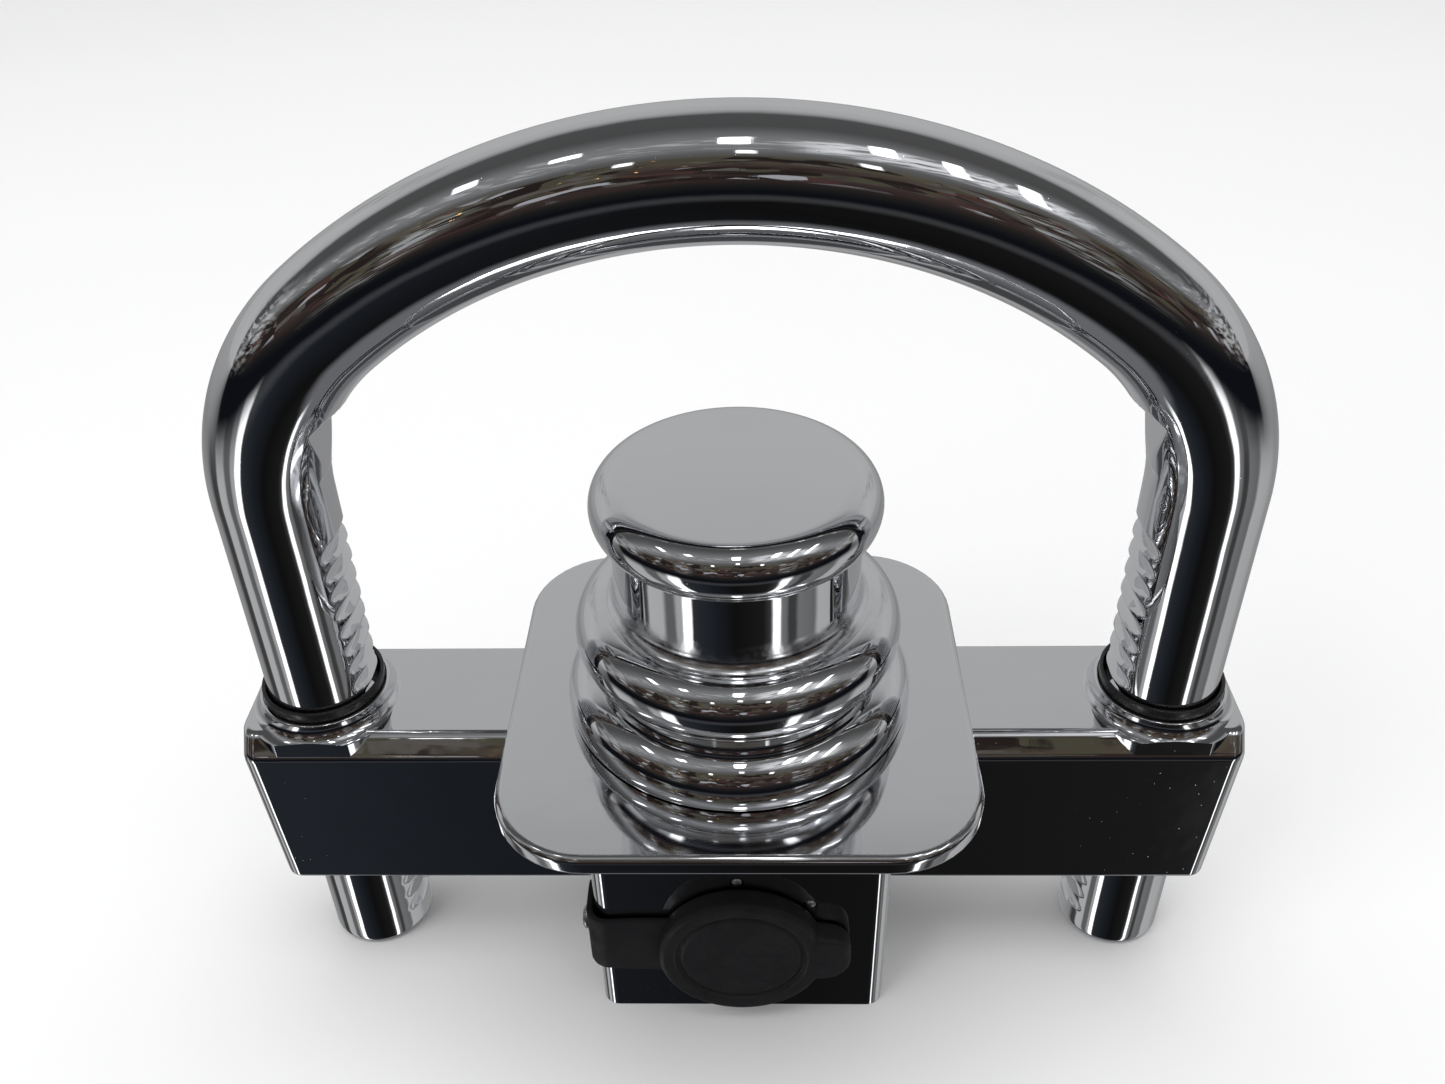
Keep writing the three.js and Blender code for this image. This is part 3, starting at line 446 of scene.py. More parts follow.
def leg_boss():
    """A low flared boss round the right leg's bore, held within the bar's depth."""
    across, up = BOSS_FLARE
    flare_z = BAR_Z[1] - BOSS_SINK
    profile = [(AXIS_R, BOSS_ROOT_Z), (BOSS_R, BOSS_ROOT_Z), (BOSS_R, flare_z)]
    turns = np.radians(np.linspace(0, 90, 13))
    profile += [(BOSS_R - across * math.sin(t), flare_z + up * (1 - math.cos(t))) for t in turns]
    profile += arc(BOSS_TOP_R, BOSS_TOP - BOSS_RIM_R, BOSS_RIM_R, 0, 90, 4)
    profile += [(AXIS_R, BOSS_TOP)]
    made = turned("boss", profile, (LEG_X, 0, 0), sides=144)
    return boolean(made, block("depth", *BOSS_ROOM), "INTERSECT")


def mirrored(made):
    """A copy of a right-hand shape for the left side."""
    copy = bpy.data.objects.new(made.name + "_left", made.data.copy())
    bpy.context.scene.collection.objects.link(copy)
    copy.data.transform(Matrix.Scale(-1, 4, (1, 0, 0)))
    copy.data.flip_normals()
    return copy


def cover_outline(grow=0.0):
    """The rear cover's T outline in X and Z, grown by a margin."""
    half, stem = COVER_HIGH[0] + grow, COVER_STEM_X + grow
    low, high, shoulder = COVER_LOW[2] - grow, COVER_HIGH[2] + grow, COVER_SHOULDER_Z - grow
    radius = COVER_CORNER_R

    def corner(x, z, start):
        turns = np.radians(np.linspace(start, start + 90, 9))
        return [(x + radius * math.cos(t), z + radius * math.sin(t)) for t in turns]

    outline = corner(stem - radius, low + radius, -90)
    outline += [(stem, shoulder)]
    outline += corner(half - radius, shoulder + radius, -90)
    outline += corner(half - radius, high - radius, 0)
    outline += corner(radius - half, high - radius, 90)
    outline += corner(radius - half, shoulder + radius, 180)
    outline += [(-stem, shoulder)]
    outline += corner(radius - stem, low + radius, 180)
    return outline


def extruded_y(name, outline, y):
    rings = [np.array([(x, depth, z) for x, z in outline]) for depth in y]
    points, faces = skin(rings)
    return piece(name, points, faces)


def rod(name, x, z, radius, y):
    return turned(name, [(radius, y[0]), (radius, y[1])], (x, 0, z), "Y", 64)


def post_hole(name, radius, z):
    return turned(name, [(radius, z[0]), (radius, z[1])], (0, POST_Y, 0), sides=64)


def body_tools():
    """Cutting tools for every opening that shows in the casting or that a moving piece enters."""
    seal_room = SEAL_HIGH[0] - LEG_X + SEAL_GAP
    seal_floor = SEAL_LOW[2] - GAP
    bore = [
        (LEG_BORE_R, BORE_Z[0]), (LEG_BORE_R, seal_floor), (seal_room, seal_floor),
        (seal_room, BOSS_TOP - 0.1), (seal_room + BORE_LIP, BOSS_TOP + 0.1),
        (seal_room + BORE_LIP, BORE_Z[1]),
    ]
    mouth = [
        (MOUTH_RIM_R, MOUTH_Y[0]), (MOUTH_RIM_R, BODY_LOW[1] - 0.2),
        (MOUTH_R, BODY_LOW[1] + 0.3), (MOUTH_R, MOUTH_Y[1]),
    ]
    tools = []
    right = turned("bore", bore, (LEG_X, 0, 0), sides=128)
    guide = block("guide", *PAWL_GUIDE)
    for one in (right, guide):
        tools += [mirrored(one), one]
    tools.append(extruded_y("recess", cover_outline(GAP), RECESS_Y))
    tools.append(block("pocket", *PAWL_POCKET))
    tools.append(block("stem", *CAM_POCKET))
    tools.append(rod("barrel", 0, LOCK_Z, BARREL_R, BARREL_Y))
    tools.append(turned("mouth", mouth, (0, 0, LOCK_Z), "Y", 128))
    tools.append(post_hole("bolt_room", BOLT_ROOM_R, BOLT_ROOM_Z))
    tools.append(post_hole("bolt_hole", BOLT_HOLE_R, BOLT_HOLE_Z))
    for name in ("face_pin_1", "face_pin_2"):
        x, z = middle_xz(name)
        tools.append(rod(name + "_hole", x, z, PIN_HOLE_R, PIN_HOLE_Y))
    return tools


def make_body():
    made = boolean(cross_bar(), lock_housing(), "UNION")
    boss = leg_boss()
    for one in (mirrored(boss), boss):
        boolean(made, one, "UNION")
    for tool in body_tools():
        boolean(made, tool, "DIFFERENCE")
    made.name = "body_casting"
    shade(made, 32)
    weigh_normals(made)
    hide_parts("lock_body")
    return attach(made, "lock_base")


# ---------------------------------------------------------------- plate and post

PLATE_CORNER_R = 16
PLATE_RIMS = (0.7, 1.3)

# The post's round steps in profile: the arc's centre by radius and height, and its own radius.
LOW_RING = (23.4, 65.4, 6.2)
HIGH_RING = (21.4, 78.9, 5.9)
CAP_RING = (18.3, 103.1, 5.0)
POST_FOOT_R = 23.6
VALLEY_R = 24.8
NECK_R = 20.3
NECK_TOP = 97.5
NECK_FILLET = 2.3
BOLT_END_Z = 84.3
CROWN_RADII = (15, 11, 7, 3, AXIS_R)


def make_plate():
    half_x = (PLATE_HIGH[0] - PLATE_LOW[0]) / 2
    half_y = (PLATE_HIGH[1] - PLATE_LOW[1]) / 2
    z = (PLATE_LOW[2], PLATE_HIGH[2])
    made = slab("plate_polished", half_x, half_y, PLATE_CORNER_R, z, PLATE_RIMS, (0, POST_Y))
    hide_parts("flange_plate")
    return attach(made, "lock_base")


def post_profile():
    """The stepped post from its foot to its crown: two rings, a neck and a cap."""
    foot = POST_LOW[2]
    low_r, low_z, low_edge = LOW_RING
    high_r, high_z, high_edge = HIGH_RING
    cap_r, cap_z, cap_edge = CAP_RING
    fillet_z = high_z + high_edge + NECK_FILLET
    profile = [(AXIS_R, BOLT_END_Z), (BOLT_HOLE_R, BOLT_END_Z), (BOLT_HOLE_R, foot)]
    profile += [(POST_FOOT_R, foot)]
    start = math.degrees(math.asin((foot - low_z) / low_edge))
    stop = math.degrees(math.acos((VALLEY_R - low_r) / low_edge))
    profile += arc(low_r, low_z, low_edge, start, stop, 26)
    start = -math.degrees(math.acos((VALLEY_R - high_r) / high_edge))
    profile += arc(high_r, high_z, high_edge, start, 90, 24)
    profile += arc(NECK_R + NECK_FILLET, fillet_z, NECK_FILLET, 270, 180, 10)[1:]
    profile += [(NECK_R, z) for z in np.linspace(fillet_z + 2, NECK_TOP, 4)]
    start = -math.degrees(math.acos((NECK_R - cap_r) / cap_edge))
    profile += arc(cap_r, cap_z, cap_edge, start, 90, 26)
    top = cap_z + cap_edge
    crown = POST_HIGH[2] - top
    profile += [(r, top + crown * (1 - (r / cap_r) ** 2)) for r in CROWN_RADII]
    return profile


def make_post():
    made = turned("post_turned", post_profile(), (0, POST_Y, 0), sides=192, sharp=34)
    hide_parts("coupler_post")
    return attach(made, "lock_base")


# ---------------------------------------------------------------- seals, cap and strap

SEAL_SLACK = 0.02
SEAL_PROUD = 0.12
SEAL_RIM_R = 0.25

DISC_R = 14.9
TAB_HALF = 5.5
TAB_CORNER_R = 4.5
TAB_BLEND = 1.6
CAP_SIDES = 180
CAP_BACK = -23.5
CAP_RIM_R = 1.1
CAP_BACK_RIM_R = 0.6
MIDDLE_R = 0.05

# The cap's face and the groove round it: radius, and depth behind the front.
FACE_RADII = (MIDDLE_R, 3, 6, 9, 10.4)
FACE_R, FACE_DEPTH, FACE_CROWN = 11, 0.35, 0.1
GROOVE = (
    (10.75, 0.4), (10.95, 0.62), (11.15, 0.78), (11.45, 0.78),
    (11.65, 0.6), (11.8, 0.25), (12.0, 0.06), (12.3, 0.0),
)

STRAP_START_X = -9
STRAP_BEND_R = 3.2
STRAP_EDGE_R = 0.45
STRAP_END_R = 3.0
WAIST_DEPTH, WAIST_AT, WAIST_WIDTH = 0.05, 16, 4

PIN_R = 0.98
PIN_DOME = 0.8


def make_seal(side):
    node = "leg_seal_right" if side > 0 else "leg_seal_left"
    outer = (SEAL_HIGH[0] - SEAL_LOW[0]) / 2
    inner = LEG_BORE_R + SEAL_SLACK
    low, high = SEAL_LOW[2], SEAL_HIGH[2]
    profile = [(inner, low), (outer, low), (outer, BOSS_TOP - 0.2)]
    profile += [(outer + SEAL_PROUD, BOSS_TOP + 0.1), (outer + SEAL_PROUD, high - 0.4)]
    profile += arc(outer - 0.13, high - SEAL_RIM_R, SEAL_RIM_R, 0, 90, 5)
    profile += [(inner + 0.15, high - 0.02), (inner, high - 0.15)]
    made = turned(node + "_lip", profile, (side * LEG_X, 0, 0), sides=128, closed=True, sharp=60)
    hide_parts(node)
    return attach(made, "lock_base")


def cap_outline():
    """Distance from the lock axis to the dust cap's edge, by angle: a disc and its pull tab."""
    turn = np.arange(CAP_SIDES) / CAP_SIDES * TURN
    u, v = np.cos(turn), np.sin(turn)
    tab = np.zeros(CAP_SIDES)
    reach = CAP_HIGH[0]
    for i in range(CAP_SIDES):
        if u[i] <= 0.2:
            continue
        low, high = 0.0, reach + 1
        for _ in range(40):
            middle = (low + high) / 2
            dx = max(abs(middle * u[i]) - (reach - TAB_CORNER_R), 0)
            dz = max(abs(middle * v[i]) - (TAB_HALF - TAB_CORNER_R), 0)
            inside = math.hypot(dx, dz) < TAB_CORNER_R
            low, high = (middle, high) if inside else (low, middle)
        tab[i] = low
    near = np.maximum(TAB_BLEND - np.abs(tab - DISC_R), 0) / TAB_BLEND
    return np.maximum(tab, DISC_R) + near * near * TAB_BLEND / 4


def make_cap():
    turn = np.arange(CAP_SIDES) / CAP_SIDES * TURN
    edge = cap_outline()
    front, back, boss_back = CAP_LOW[1], CAP_BACK, CAP_HIGH[1]

    def ring(radius, y):
        x, z = radius * np.cos(turn), radius * np.sin(turn) + LOCK_Z
        return np.stack([x, np.full(CAP_SIDES, y), z], 1)

    def round_ring(r, y):
        return ring(np.full(CAP_SIDES, r), y)

    rings = []
    for r in FACE_RADII:
        rings.append(round_ring(r, front + FACE_DEPTH - FACE_CROWN * (1 - (r / FACE_R) ** 2)))
    rings += [round_ring(r, front + depth) for r, depth in GROOVE]
    groove_r = GROOVE[-1][0]
    for t in (0.5, 1.0):
        rings.append(ring(groove_r + (edge - CAP_RIM_R - groove_r) * t, front))
    for t in np.radians(np.linspace(15, 90, 6)):
        inset, depth = CAP_RIM_R * (1 - math.sin(t)), CAP_RIM_R * (1 - math.cos(t))
        rings.append(ring(edge - inset, front + depth))
    rings.append(ring(edge, back - CAP_RIM_R))
    for t in np.radians(np.linspace(15, 90, 5)):
        inset, depth = CAP_BACK_RIM_R * (1 - math.cos(t)), CAP_BACK_RIM_R * (1 - math.sin(t))
        rings.append(ring(edge - inset, back - depth))
    rings += [round_ring(10.9, back), round_ring(10.5, back + 0.3)]
    rings += [round_ring(10.4, boss_back - 0.4), round_ring(10.0, boss_back)]
    rings.append(round_ring(MIDDLE_R, boss_back))
    points, faces = skin(rings)
    made = piece("dust_cap_moulded", points, faces, 50)
    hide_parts("dust_cap")
    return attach(made, "cap_group")


def strap_path():
    """The strap's middle line in X and Y, from under the cap round the corner to the side."""
    thick = STRAP_HIGH[0] - STRAP_LOW[0]
    face_y = CAP_BACK - thick / 2
    side_x = (STRAP_LOW[0] + STRAP_HIGH[0]) / 2
    radius = STRAP_BEND_R
    front = [(x, face_y) for x in np.linspace(STRAP_START_X, side_x + radius, 14)[:-1]]
    bend = []
    for t in np.radians(np.linspace(270, 180, 13)):
        bend.append((side_x + radius + radius * math.cos(t), face_y + radius + radius * math.sin(t)))
    back = [(side_x, y) for y in np.linspace(face_y + radius, STRAP_HIGH[1], 24)[1:]]
    return np.array(front + bend + back), thick


def make_strap():
    path, thick = strap_path()
    steps = np.gradient(path, axis=0)
    along = steps / np.linalg.norm(steps, axis=1)[:, None]
    left = np.stack([-along[:, 1], along[:, 0]], 1)
    half_z = (STRAP_HIGH[2] - STRAP_LOW[2]) / 2
    length = np.concatenate([[0], np.cumsum(np.linalg.norm(np.diff(path, axis=0), axis=1))])
    outline = rounded_outline(thick / 2, half_z, STRAP_EDGE_R, steps=4)
    rings = []
    for i, (x, y) in enumerate(path):
        into_end = max(STRAP_END_R - (length[-1] - length[i]), 0)
        lost = STRAP_END_R - math.sqrt(max(STRAP_END_R**2 - into_end**2, 0.0))
        shrink = (half_z - lost) / half_z
        waist = 1 - WAIST_DEPTH * math.exp(-(((length[i] - WAIST_AT) / WAIST_WIDTH) ** 2))
        rings.append(np.array([
            (x + a * left[i][0], y + a * left[i][1], LOCK_Z + b * shrink * waist)
            for a, b in outline
        ]))
    points, faces = skin(rings)
    made = piece("cap_strap_bent", points, faces, 50)
    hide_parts("cap_strap")
    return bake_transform(made)


def make_rivet():
    low, high = span("strap_rivet")
    centre = (low[0], (low[1] + high[1]) / 2, (low[2] + high[2]) / 2)
    profile = [(AXIS_R, 5), (1.2, 5), (1.2, 1.05), (2.2, 1.0)]
    profile += arc(1.35, 0.85, 0.85, 0, -90, 8)[1:] + [(0.6, 0.02), (AXIS_R, 0.08)]
    made = turned("strap_rivet_domed", profile, centre, "X", 64)
    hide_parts("strap_rivet")
    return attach(made, "lock_base")


def make_face_pin(index):
    node = "face_pin_" + str(index)
    low, high = span(node)
    x, z = middle_xz(node)
    front = low[1]
    profile = [(AXIS_R, high[1]), (PIN_R, high[1]), (PIN_R, front + PIN_DOME)]
    for t in np.radians(np.linspace(10, 89, 8)):
        profile.append((PIN_R * math.cos(t), front + PIN_DOME - PIN_DOME * math.sin(t)))
    made = turned(node + "_domed", profile, (x, 0, z), "Y", 48)
    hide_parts(node)
    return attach(made, "lock_base")


# ---------------------------------------------------------------- back cover

COVER_RIM_R = 0.45
SCREWS = range(1, 7)
SCREW_SIDES = 60
SCREW_R = 1.2
HEAD_R = 2.4
HEAD_RIM_R = 0.5
HEX_R = 1.15

# The seat cut for each screw: radius, and depth from the cover's back face, positive outside.
SEAT = ((1.5, -1.6), (2.7, -1.6), (2.7, -0.3), (3.0, 0.05))
SEAT_Y = (5, 20)


def make_cover():
    made = extruded_y("cover", cover_outline(), (COVER_LOW[1], COVER_HIGH[1]))
    round_all(made, COVER_RIM_R, 3, 50)
    for index in SCREWS:
        x, z = middle_xz("cover_screw_" + str(index))
        seat = [(r, COVER_HIGH[1] + y) for r, y in SEAT]
        seat = [(SEAT[0][0], SEAT_Y[0]), *seat, (SEAT[-1][0], SEAT_Y[1])]
        boolean(made, turned("seat", seat, (x, 0, z), "Y", 64), "DIFFERENCE")
    made.name = "rear_cover_polished"
    shade(made, 40)
    weigh_normals(made)
    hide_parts("rear_cover")
    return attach(made, "lock_base")


def make_screw(index):
    """A sunk screw with a round-rimmed head and a hexagon socket."""
    node = "cover_screw_" + str(index)
    low, high = span(node)
    x, z = middle_xz(node)
    back = high[1]
    turn = np.arange(SCREW_SIDES) / SCREW_SIDES * TURN
    hexagon = HEX_R / np.cos((turn + 0.3 * index) % (TURN / 6) - TURN / 12)

    def ring(radius, y):
        radius = np.broadcast_to(radius, turn.shape)
        y = np.full(SCREW_SIDES, y)
        return np.stack([x + radius * np.cos(turn), y, z + radius * np.sin(turn)], 1)

    rings = [ring(MIDDLE_R, low[1]), ring(1.0, low[1]), ring(SCREW_R, low[1] + 0.3)]
    rings += [ring(SCREW_R, back - 1.3), ring(HEAD_R - 0.05, back - 1.3)]
    rings += [ring(HEAD_R, back - 1.2), ring(HEAD_R, back - 0.55)]
    for t in (0.4, 0.8, 1.2, 1.5):
        inset, rise = HEAD_RIM_R * (1 - math.cos(t)), HEAD_RIM_R * math.sin(t)
        rings.append(ring(HEAD_R - inset, back - 0.55 + rise))
    rings += [ring(hexagon + 0.12, back - 0.04), ring(hexagon, back - 0.16)]
    rings += [ring(hexagon * 0.98, back - 0.75), ring(MIDDLE_R, back - 0.95)]
    points, faces = skin(rings)
    made = piece(node + "_head", points, faces, 40)
    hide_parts(node)
    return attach(made, "lock_base")


# ---------------------------------------------------------------- materials


CHROME = (0.80, 0.81, 0.83)
SMOOTH_CHROME = (0.015, 0.06)
PLATE_CHROME = (0.04, 0.11)
# The post's satin band, as heights in metres: where it starts, and where it fades out.
SATIN_START = (0.0840, 0.0852)
SATIN_END = (0.0875, 0.0915)
SATIN_WOBBLE = 0.0006


def soft_range(tree, inputs):
    """A Map Range node with soft ends, in a Finish or a Sky."""
    return tree.node("ShaderNodeMapRange", inputs, interpolation_type="SMOOTHSTEP").outputs["Result"]


class Finish:
    """A node material on a Principled shader, with patterns in the object's own metres."""

    def __init__(self, name, color, roughness, metallic):
        self.material = bpy.data.materials.new(name)
        self.material.use_nodes = True
        self.tree = self.material.node_tree
        self.shader = self.tree.nodes["Principled BSDF"]
        self.shader.inputs["Base Color"].default_value = (*color, 1)
        self.shader.inputs["Roughness"].default_value = roughness
        self.shader.inputs["Metallic"].default_value = metallic
        self.place = self.node("ShaderNodeTexCoord").outputs["Object"]

    def node(self, kind, links=(), **settings):
        made = self.tree.nodes.new(kind)
        for key, value in settings.items():
            setattr(made, key, value)
        for socket, value in dict(links).items():
            if isinstance(value, bpy.types.NodeSocket):
                self.tree.links.new(value, made.inputs[socket])
            else:
                made.inputs[socket].default_value = value
        return made

    def stretched(self, scale):
        inputs = {"Vector": self.place, "Scale": scale}
        return self.node("ShaderNodeMapping", inputs).outputs["Vector"]

    def noise(self, scale, detail=2.0, rough=0.5, at=None):
        inputs = {"Vector": at or self.place, "Scale": scale, "Detail": detail, "Roughness": rough}
        return self.node("ShaderNodeTexNoise", inputs).outputs["Fac"]

    def spread(self, value, low, high, out_low, out_high):
        return soft_range(self, {
            "Value": value, "From Min": low, "From Max": high, "To Min": out_low, "To Max": out_high,
        })

    def pits(self, scale, size):
        cells = self.node("ShaderNodeTexVoronoi", {"Vector": self.place, "Scale": scale})
        return self.spread(cells.outputs["Distance"], 0.0, size, 1.0, 0.0)

    def math(self, operation, a, b):
        return self.node("ShaderNodeMath", {0: a, 1: b}, operation=operation).outputs[0]

    def bump(self, height, distance, strength=1.0, after=None):
        inputs = {"Height": height, "Distance": distance * MM, "Strength": strength}
        if after is not None:
            inputs["Normal"] = after
        return self.node("ShaderNodeBump", inputs).outputs["Normal"]

    def mix(self, factor, a, b):
        inputs = {0: factor, 6: (*a, 1), 7: (*b, 1)}
        return self.node("ShaderNodeMix", inputs, data_type="RGBA").outputs[2]

    def set(self, **sockets):
        for name, value in sockets.items():
            socket = self.shader.inputs[name.replace("_", " ")]
            if isinstance(value, bpy.types.NodeSocket):
                self.tree.links.new(value, socket)
            else:
                socket.default_value = value
        return self.material


def scratches(finish, scale):
    """Fine handling scratches: long thin noise in two directions."""
    one = finish.noise(scale, 3, 0.6, finish.stretched((1, 0.06, 0.12)))
    two = finish.noise(scale, 3, 0.6, finish.stretched((0.08, 1, 0.1)))
    return finish.math("MAXIMUM", one, two)


def chrome(name, ripple, ripple_depth, pit_depth, rough=(0.02, 0.085)):
    """Chrome with a slight ripple, fine pits, scratches and uneven haze; depths in millimetres."""
    finish = Finish(name, CHROME, 0.05, 1)
    waves = finish.noise(ripple, 2, 0.45)
    normal = finish.bump(waves, ripple_depth)
    normal = finish.bump(finish.pits(620, 0.08), -pit_depth, 0.22, normal)
    normal = finish.bump(scratches(finish, 900), 0.004, 0.5, normal)
    broad = finish.spread(finish.noise(55, 4, 0.6), 0.38, 0.72, *rough)
    fine = finish.spread(finish.noise(420, 3), 0.55, 0.8, 0.0, 0.05)
    haze = finish.math("ADD", broad, fine)
    tint = finish.mix(finish.noise(30, 3), CHROME, tuple(c * 0.93 for c in CHROME))
    finish.set(Roughness=haze, Normal=normal, Base_Color=tint)
    return finish


def chrome_casting():
    return chrome("chrome_casting", ripple=95, ripple_depth=0.10, pit_depth=0.05).material


def chrome_bar():
    return chrome("chrome_bar", 120, 0.045, 0.02, SMOOTH_CHROME).material


def chrome_plate():
    return chrome("chrome_plate", 70, 0.05, 0.035, PLATE_CHROME).material


def chrome_cover():
    return chrome("chrome_cover", 80, 0.05, 0.03).material


def chrome_post():
    """Chrome that is satin round the foot of the neck."""
    finish = chrome("chrome_post", 100, 0.04, 0.02, SMOOTH_CHROME)
    height = finish.node("ShaderNodeSeparateXYZ", {0: finish.place}).outputs["Z"]
    shift = finish.spread(finish.noise(180, 3), 0.3, 0.7, -SATIN_WOBBLE, SATIN_WOBBLE)
    wobble = finish.math("ADD", height, shift)
    satin = finish.math(
        "MULTIPLY", finish.spread(wobble, *SATIN_START, 0, 1), finish.spread(wobble, *SATIN_END, 1, 0)
    )
    haze = finish.spread(finish.noise(900, 4), 0.3, 0.7, 0.12, 0.26)
    base = finish.shader.inputs["Roughness"].links[0].from_socket
    finish.set(Roughness=finish.math("MAXIMUM", base, finish.math("MULTIPLY", satin, haze)))
    return finish.material


def plated_steel():
    finish = Finish("plated_steel", (0.62, 0.63, 0.65), 0.3, 1)
    grain = finish.noise(1500, 3, 0.6, finish.stretched((1, 0.15, 1)))
    finish.set(
        Base_Color=finish.mix(finish.noise(220, 4), (0.66, 0.66, 0.67), (0.50, 0.50, 0.49)),
        Roughness=finish.spread(finish.noise(500, 4), 0.3, 0.75, 0.22, 0.42),
        Normal=finish.bump(grain, 0.008, 0.6),
    )
    return finish.material


def lock_brass():
    finish = Finish("lock_brass", (0.72, 0.55, 0.28), 0.3, 1)
    rings = finish.node(
        "ShaderNodeTexWave",
        {"Vector": finish.place, "Scale": 900, "Distortion": 1.5, "Detail": 2},
        wave_type="RINGS", rings_direction="Y",
    ).outputs["Fac"]
    finish.set(
        Base_Color=finish.mix(finish.noise(150, 4), (0.76, 0.58, 0.30), (0.52, 0.38, 0.19)),
        Roughness=finish.spread(finish.noise(300, 4), 0.3, 0.75, 0.24, 0.45),
        Normal=finish.bump(rings, 0.006, 0.5),
    )
    return finish.material


def seal_rubber():
    finish = Finish("seal_rubber", (0.010, 0.010, 0.011), 0.2, 0)
    finish.set(
        Base_Color=finish.mix(finish.noise(300, 3), (0.006, 0.006, 0.007), (0.014, 0.014, 0.015)),
        Roughness=finish.spread(finish.noise(700, 4), 0.3, 0.7, 0.2, 0.38),
        Normal=finish.bump(finish.noise(2500, 3), 0.01, 0.5),
    )
    return finish.material


def cap_rubber():
    """Matte moulded rubber with a fine grain and worn, slightly greyer high spots."""
    finish = Finish("cap_rubber", (0.02, 0.02, 0.022), 0.62, 0)
    grain = finish.bump(finish.noise(4200, 3, 0.6), 0.02, 0.7)
    worn = finish.noise(130, 5, 0.65)
    finish.set(
        Base_Color=finish.mix(worn, (0.005, 0.0055, 0.0065), (0.013, 0.0135, 0.016)),
        Roughness=finish.spread(finish.noise(260, 4), 0.3, 0.7, 0.5, 0.72),
        Normal=finish.bump(finish.pits(900, 0.14), -0.03, 0.5, grain),
    )
    return finish.material


# ---------------------------------------------------------------- stage


CAMERA_PLACE = (0.00330, -0.17155, 0.21899)
CAMERA_LENS = 32.43
CAMERA_YAW, CAMERA_DOWN, CAMERA_ROLL = 1.878, 36.33, -1.486
FLOOR_REACH = 6.0
FLOOR_Z = -0.0002


def make_camera():
    camera = bpy.data.cameras.new("camera")
    camera.sensor_width = 36
    camera.lens = CAMERA_LENS
    made = bpy.data.objects.new("camera", camera)
    bpy.context.scene.collection.objects.link(made)
    bpy.context.scene.camera = made
    yaw = Matrix.Rotation(math.radians(CAMERA_YAW), 4, "Z")
    tilt = Matrix.Rotation(math.radians(90 - CAMERA_DOWN), 4, "X")
    roll = Matrix.Rotation(math.radians(CAMERA_ROLL), 4, "Z")
    made.matrix_world = Matrix.Translation(CAMERA_PLACE) @ (yaw @ tilt @ roll)


def make_floor():
    mesh = bpy.data.meshes.new("floor")
    corners = [(x * FLOOR_REACH, y * FLOOR_REACH, FLOOR_Z) for x, y in ((-1, -1), (1, -1), (1, 1), (-1, 1))]
    mesh.from_pydata(corners, [], [(0, 1, 2, 3)])
    floor = bpy.data.objects.new("floor", mesh)
    bpy.context.scene.collection.objects.link(floor)
    finish = Finish("floor_paper", (0.86, 0.86, 0.86), 0.9, 0)
    finish.set(
        Base_Color=finish.mix(finish.noise(3, 3), (0.87, 0.87, 0.87), (0.84, 0.84, 0.845)),
        Normal=finish.bump(finish.noise(900, 3), 0.02, 0.3),
    )
    mesh.materials.append(finish.material)
    floor.visible_glossy = False


class Sky:
    """The room's light as a colour for each direction, made of bands and windows."""

    def __init__(self):
        self.world = bpy.data.worlds.new("room")
        self.world.use_nodes = True
        self.tree = self.world.node_tree
        self.direction = self.node("ShaderNodeTexCoord").outputs["Generated"]
        parts = self.node("ShaderNodeSeparateXYZ", {0: self.direction})
        self.x, self.y, self.z = (parts.outputs[k] for k in "XYZ")
        self.color = None

    def node(self, kind, links=(), **settings):
        return Finish.node(self, kind, links, **settings)

    def math(self, operation, a, b=0.0):
        return self.node("ShaderNodeMath", {0: a, 1: b}, operation=operation).outputs[0]

    def turns(self, a, b, shift=0.0):
        """The direction's angle in a plane, in turns from 0 to 1."""
        angle = self.math("DIVIDE", self.math("ARCTAN2", a, b), TURN)
        return self.math("FRACT", self.math("ADD", angle, shift))

    def noise(self, scale, detail=3.0):
        inputs = {"Vector": self.direction, "Scale": scale, "Detail": detail}
        return self.node("ShaderNodeTexNoise", inputs).outputs["Fac"]

    def cells(self, scale, output):
        inputs = {"Vector": self.direction, "Scale": scale}
        return self.node("ShaderNodeTexVoronoi", inputs).outputs[output]

    def step(self, value, low, high):
        return soft_range(self, {"Value": value, "From Min": low, "From Max": high})

    def window(self, value, low, high, soft):
        rise = self.step(value, low - soft, low + soft)
        fall = self.step(value, high - soft, high + soft)
        return self.math("MULTIPLY", rise, self.math("SUBTRACT", 1.0, fall))

    def both(self, *masks):
        result = masks[0]
        for mask in masks[1:]:
            result = self.math("MULTIPLY", result, mask)
        return result

    def ramp(self, value, stops, easing="LINEAR"):
        """Colours by degrees round a full turn."""
        made = self.node("ShaderNodeValToRGB", {0: value})
        made.color_ramp.interpolation = easing
        elements = made.color_ramp.elements
        elements.remove(elements[1])
        for k, (degrees, color) in enumerate(stops):
            stop = elements[0] if k == 0 else elements.new(degrees / 360)
            stop.position = degrees / 360
            stop.color = (*np.broadcast_to(color, 3), 1)
        return made.outputs["Color"]

    def lay(self, mask, color):
        """Paints a colour over the room where the mask is 1."""
        if not isinstance(color, bpy.types.NodeSocket):
            color = (*color, 1)
        inputs = {0: mask, 6: self.color, 7: color}
        self.color = self.node("ShaderNodeMix", inputs, data_type="RGBA").outputs[2]

    def finish(self):
        self.tree.links.new(self.color, self.tree.nodes["Background"].inputs["Color"])
        bpy.context.scene.world = self.world


ROOM_BEND = 0.022  # how far the bands waver, in turns
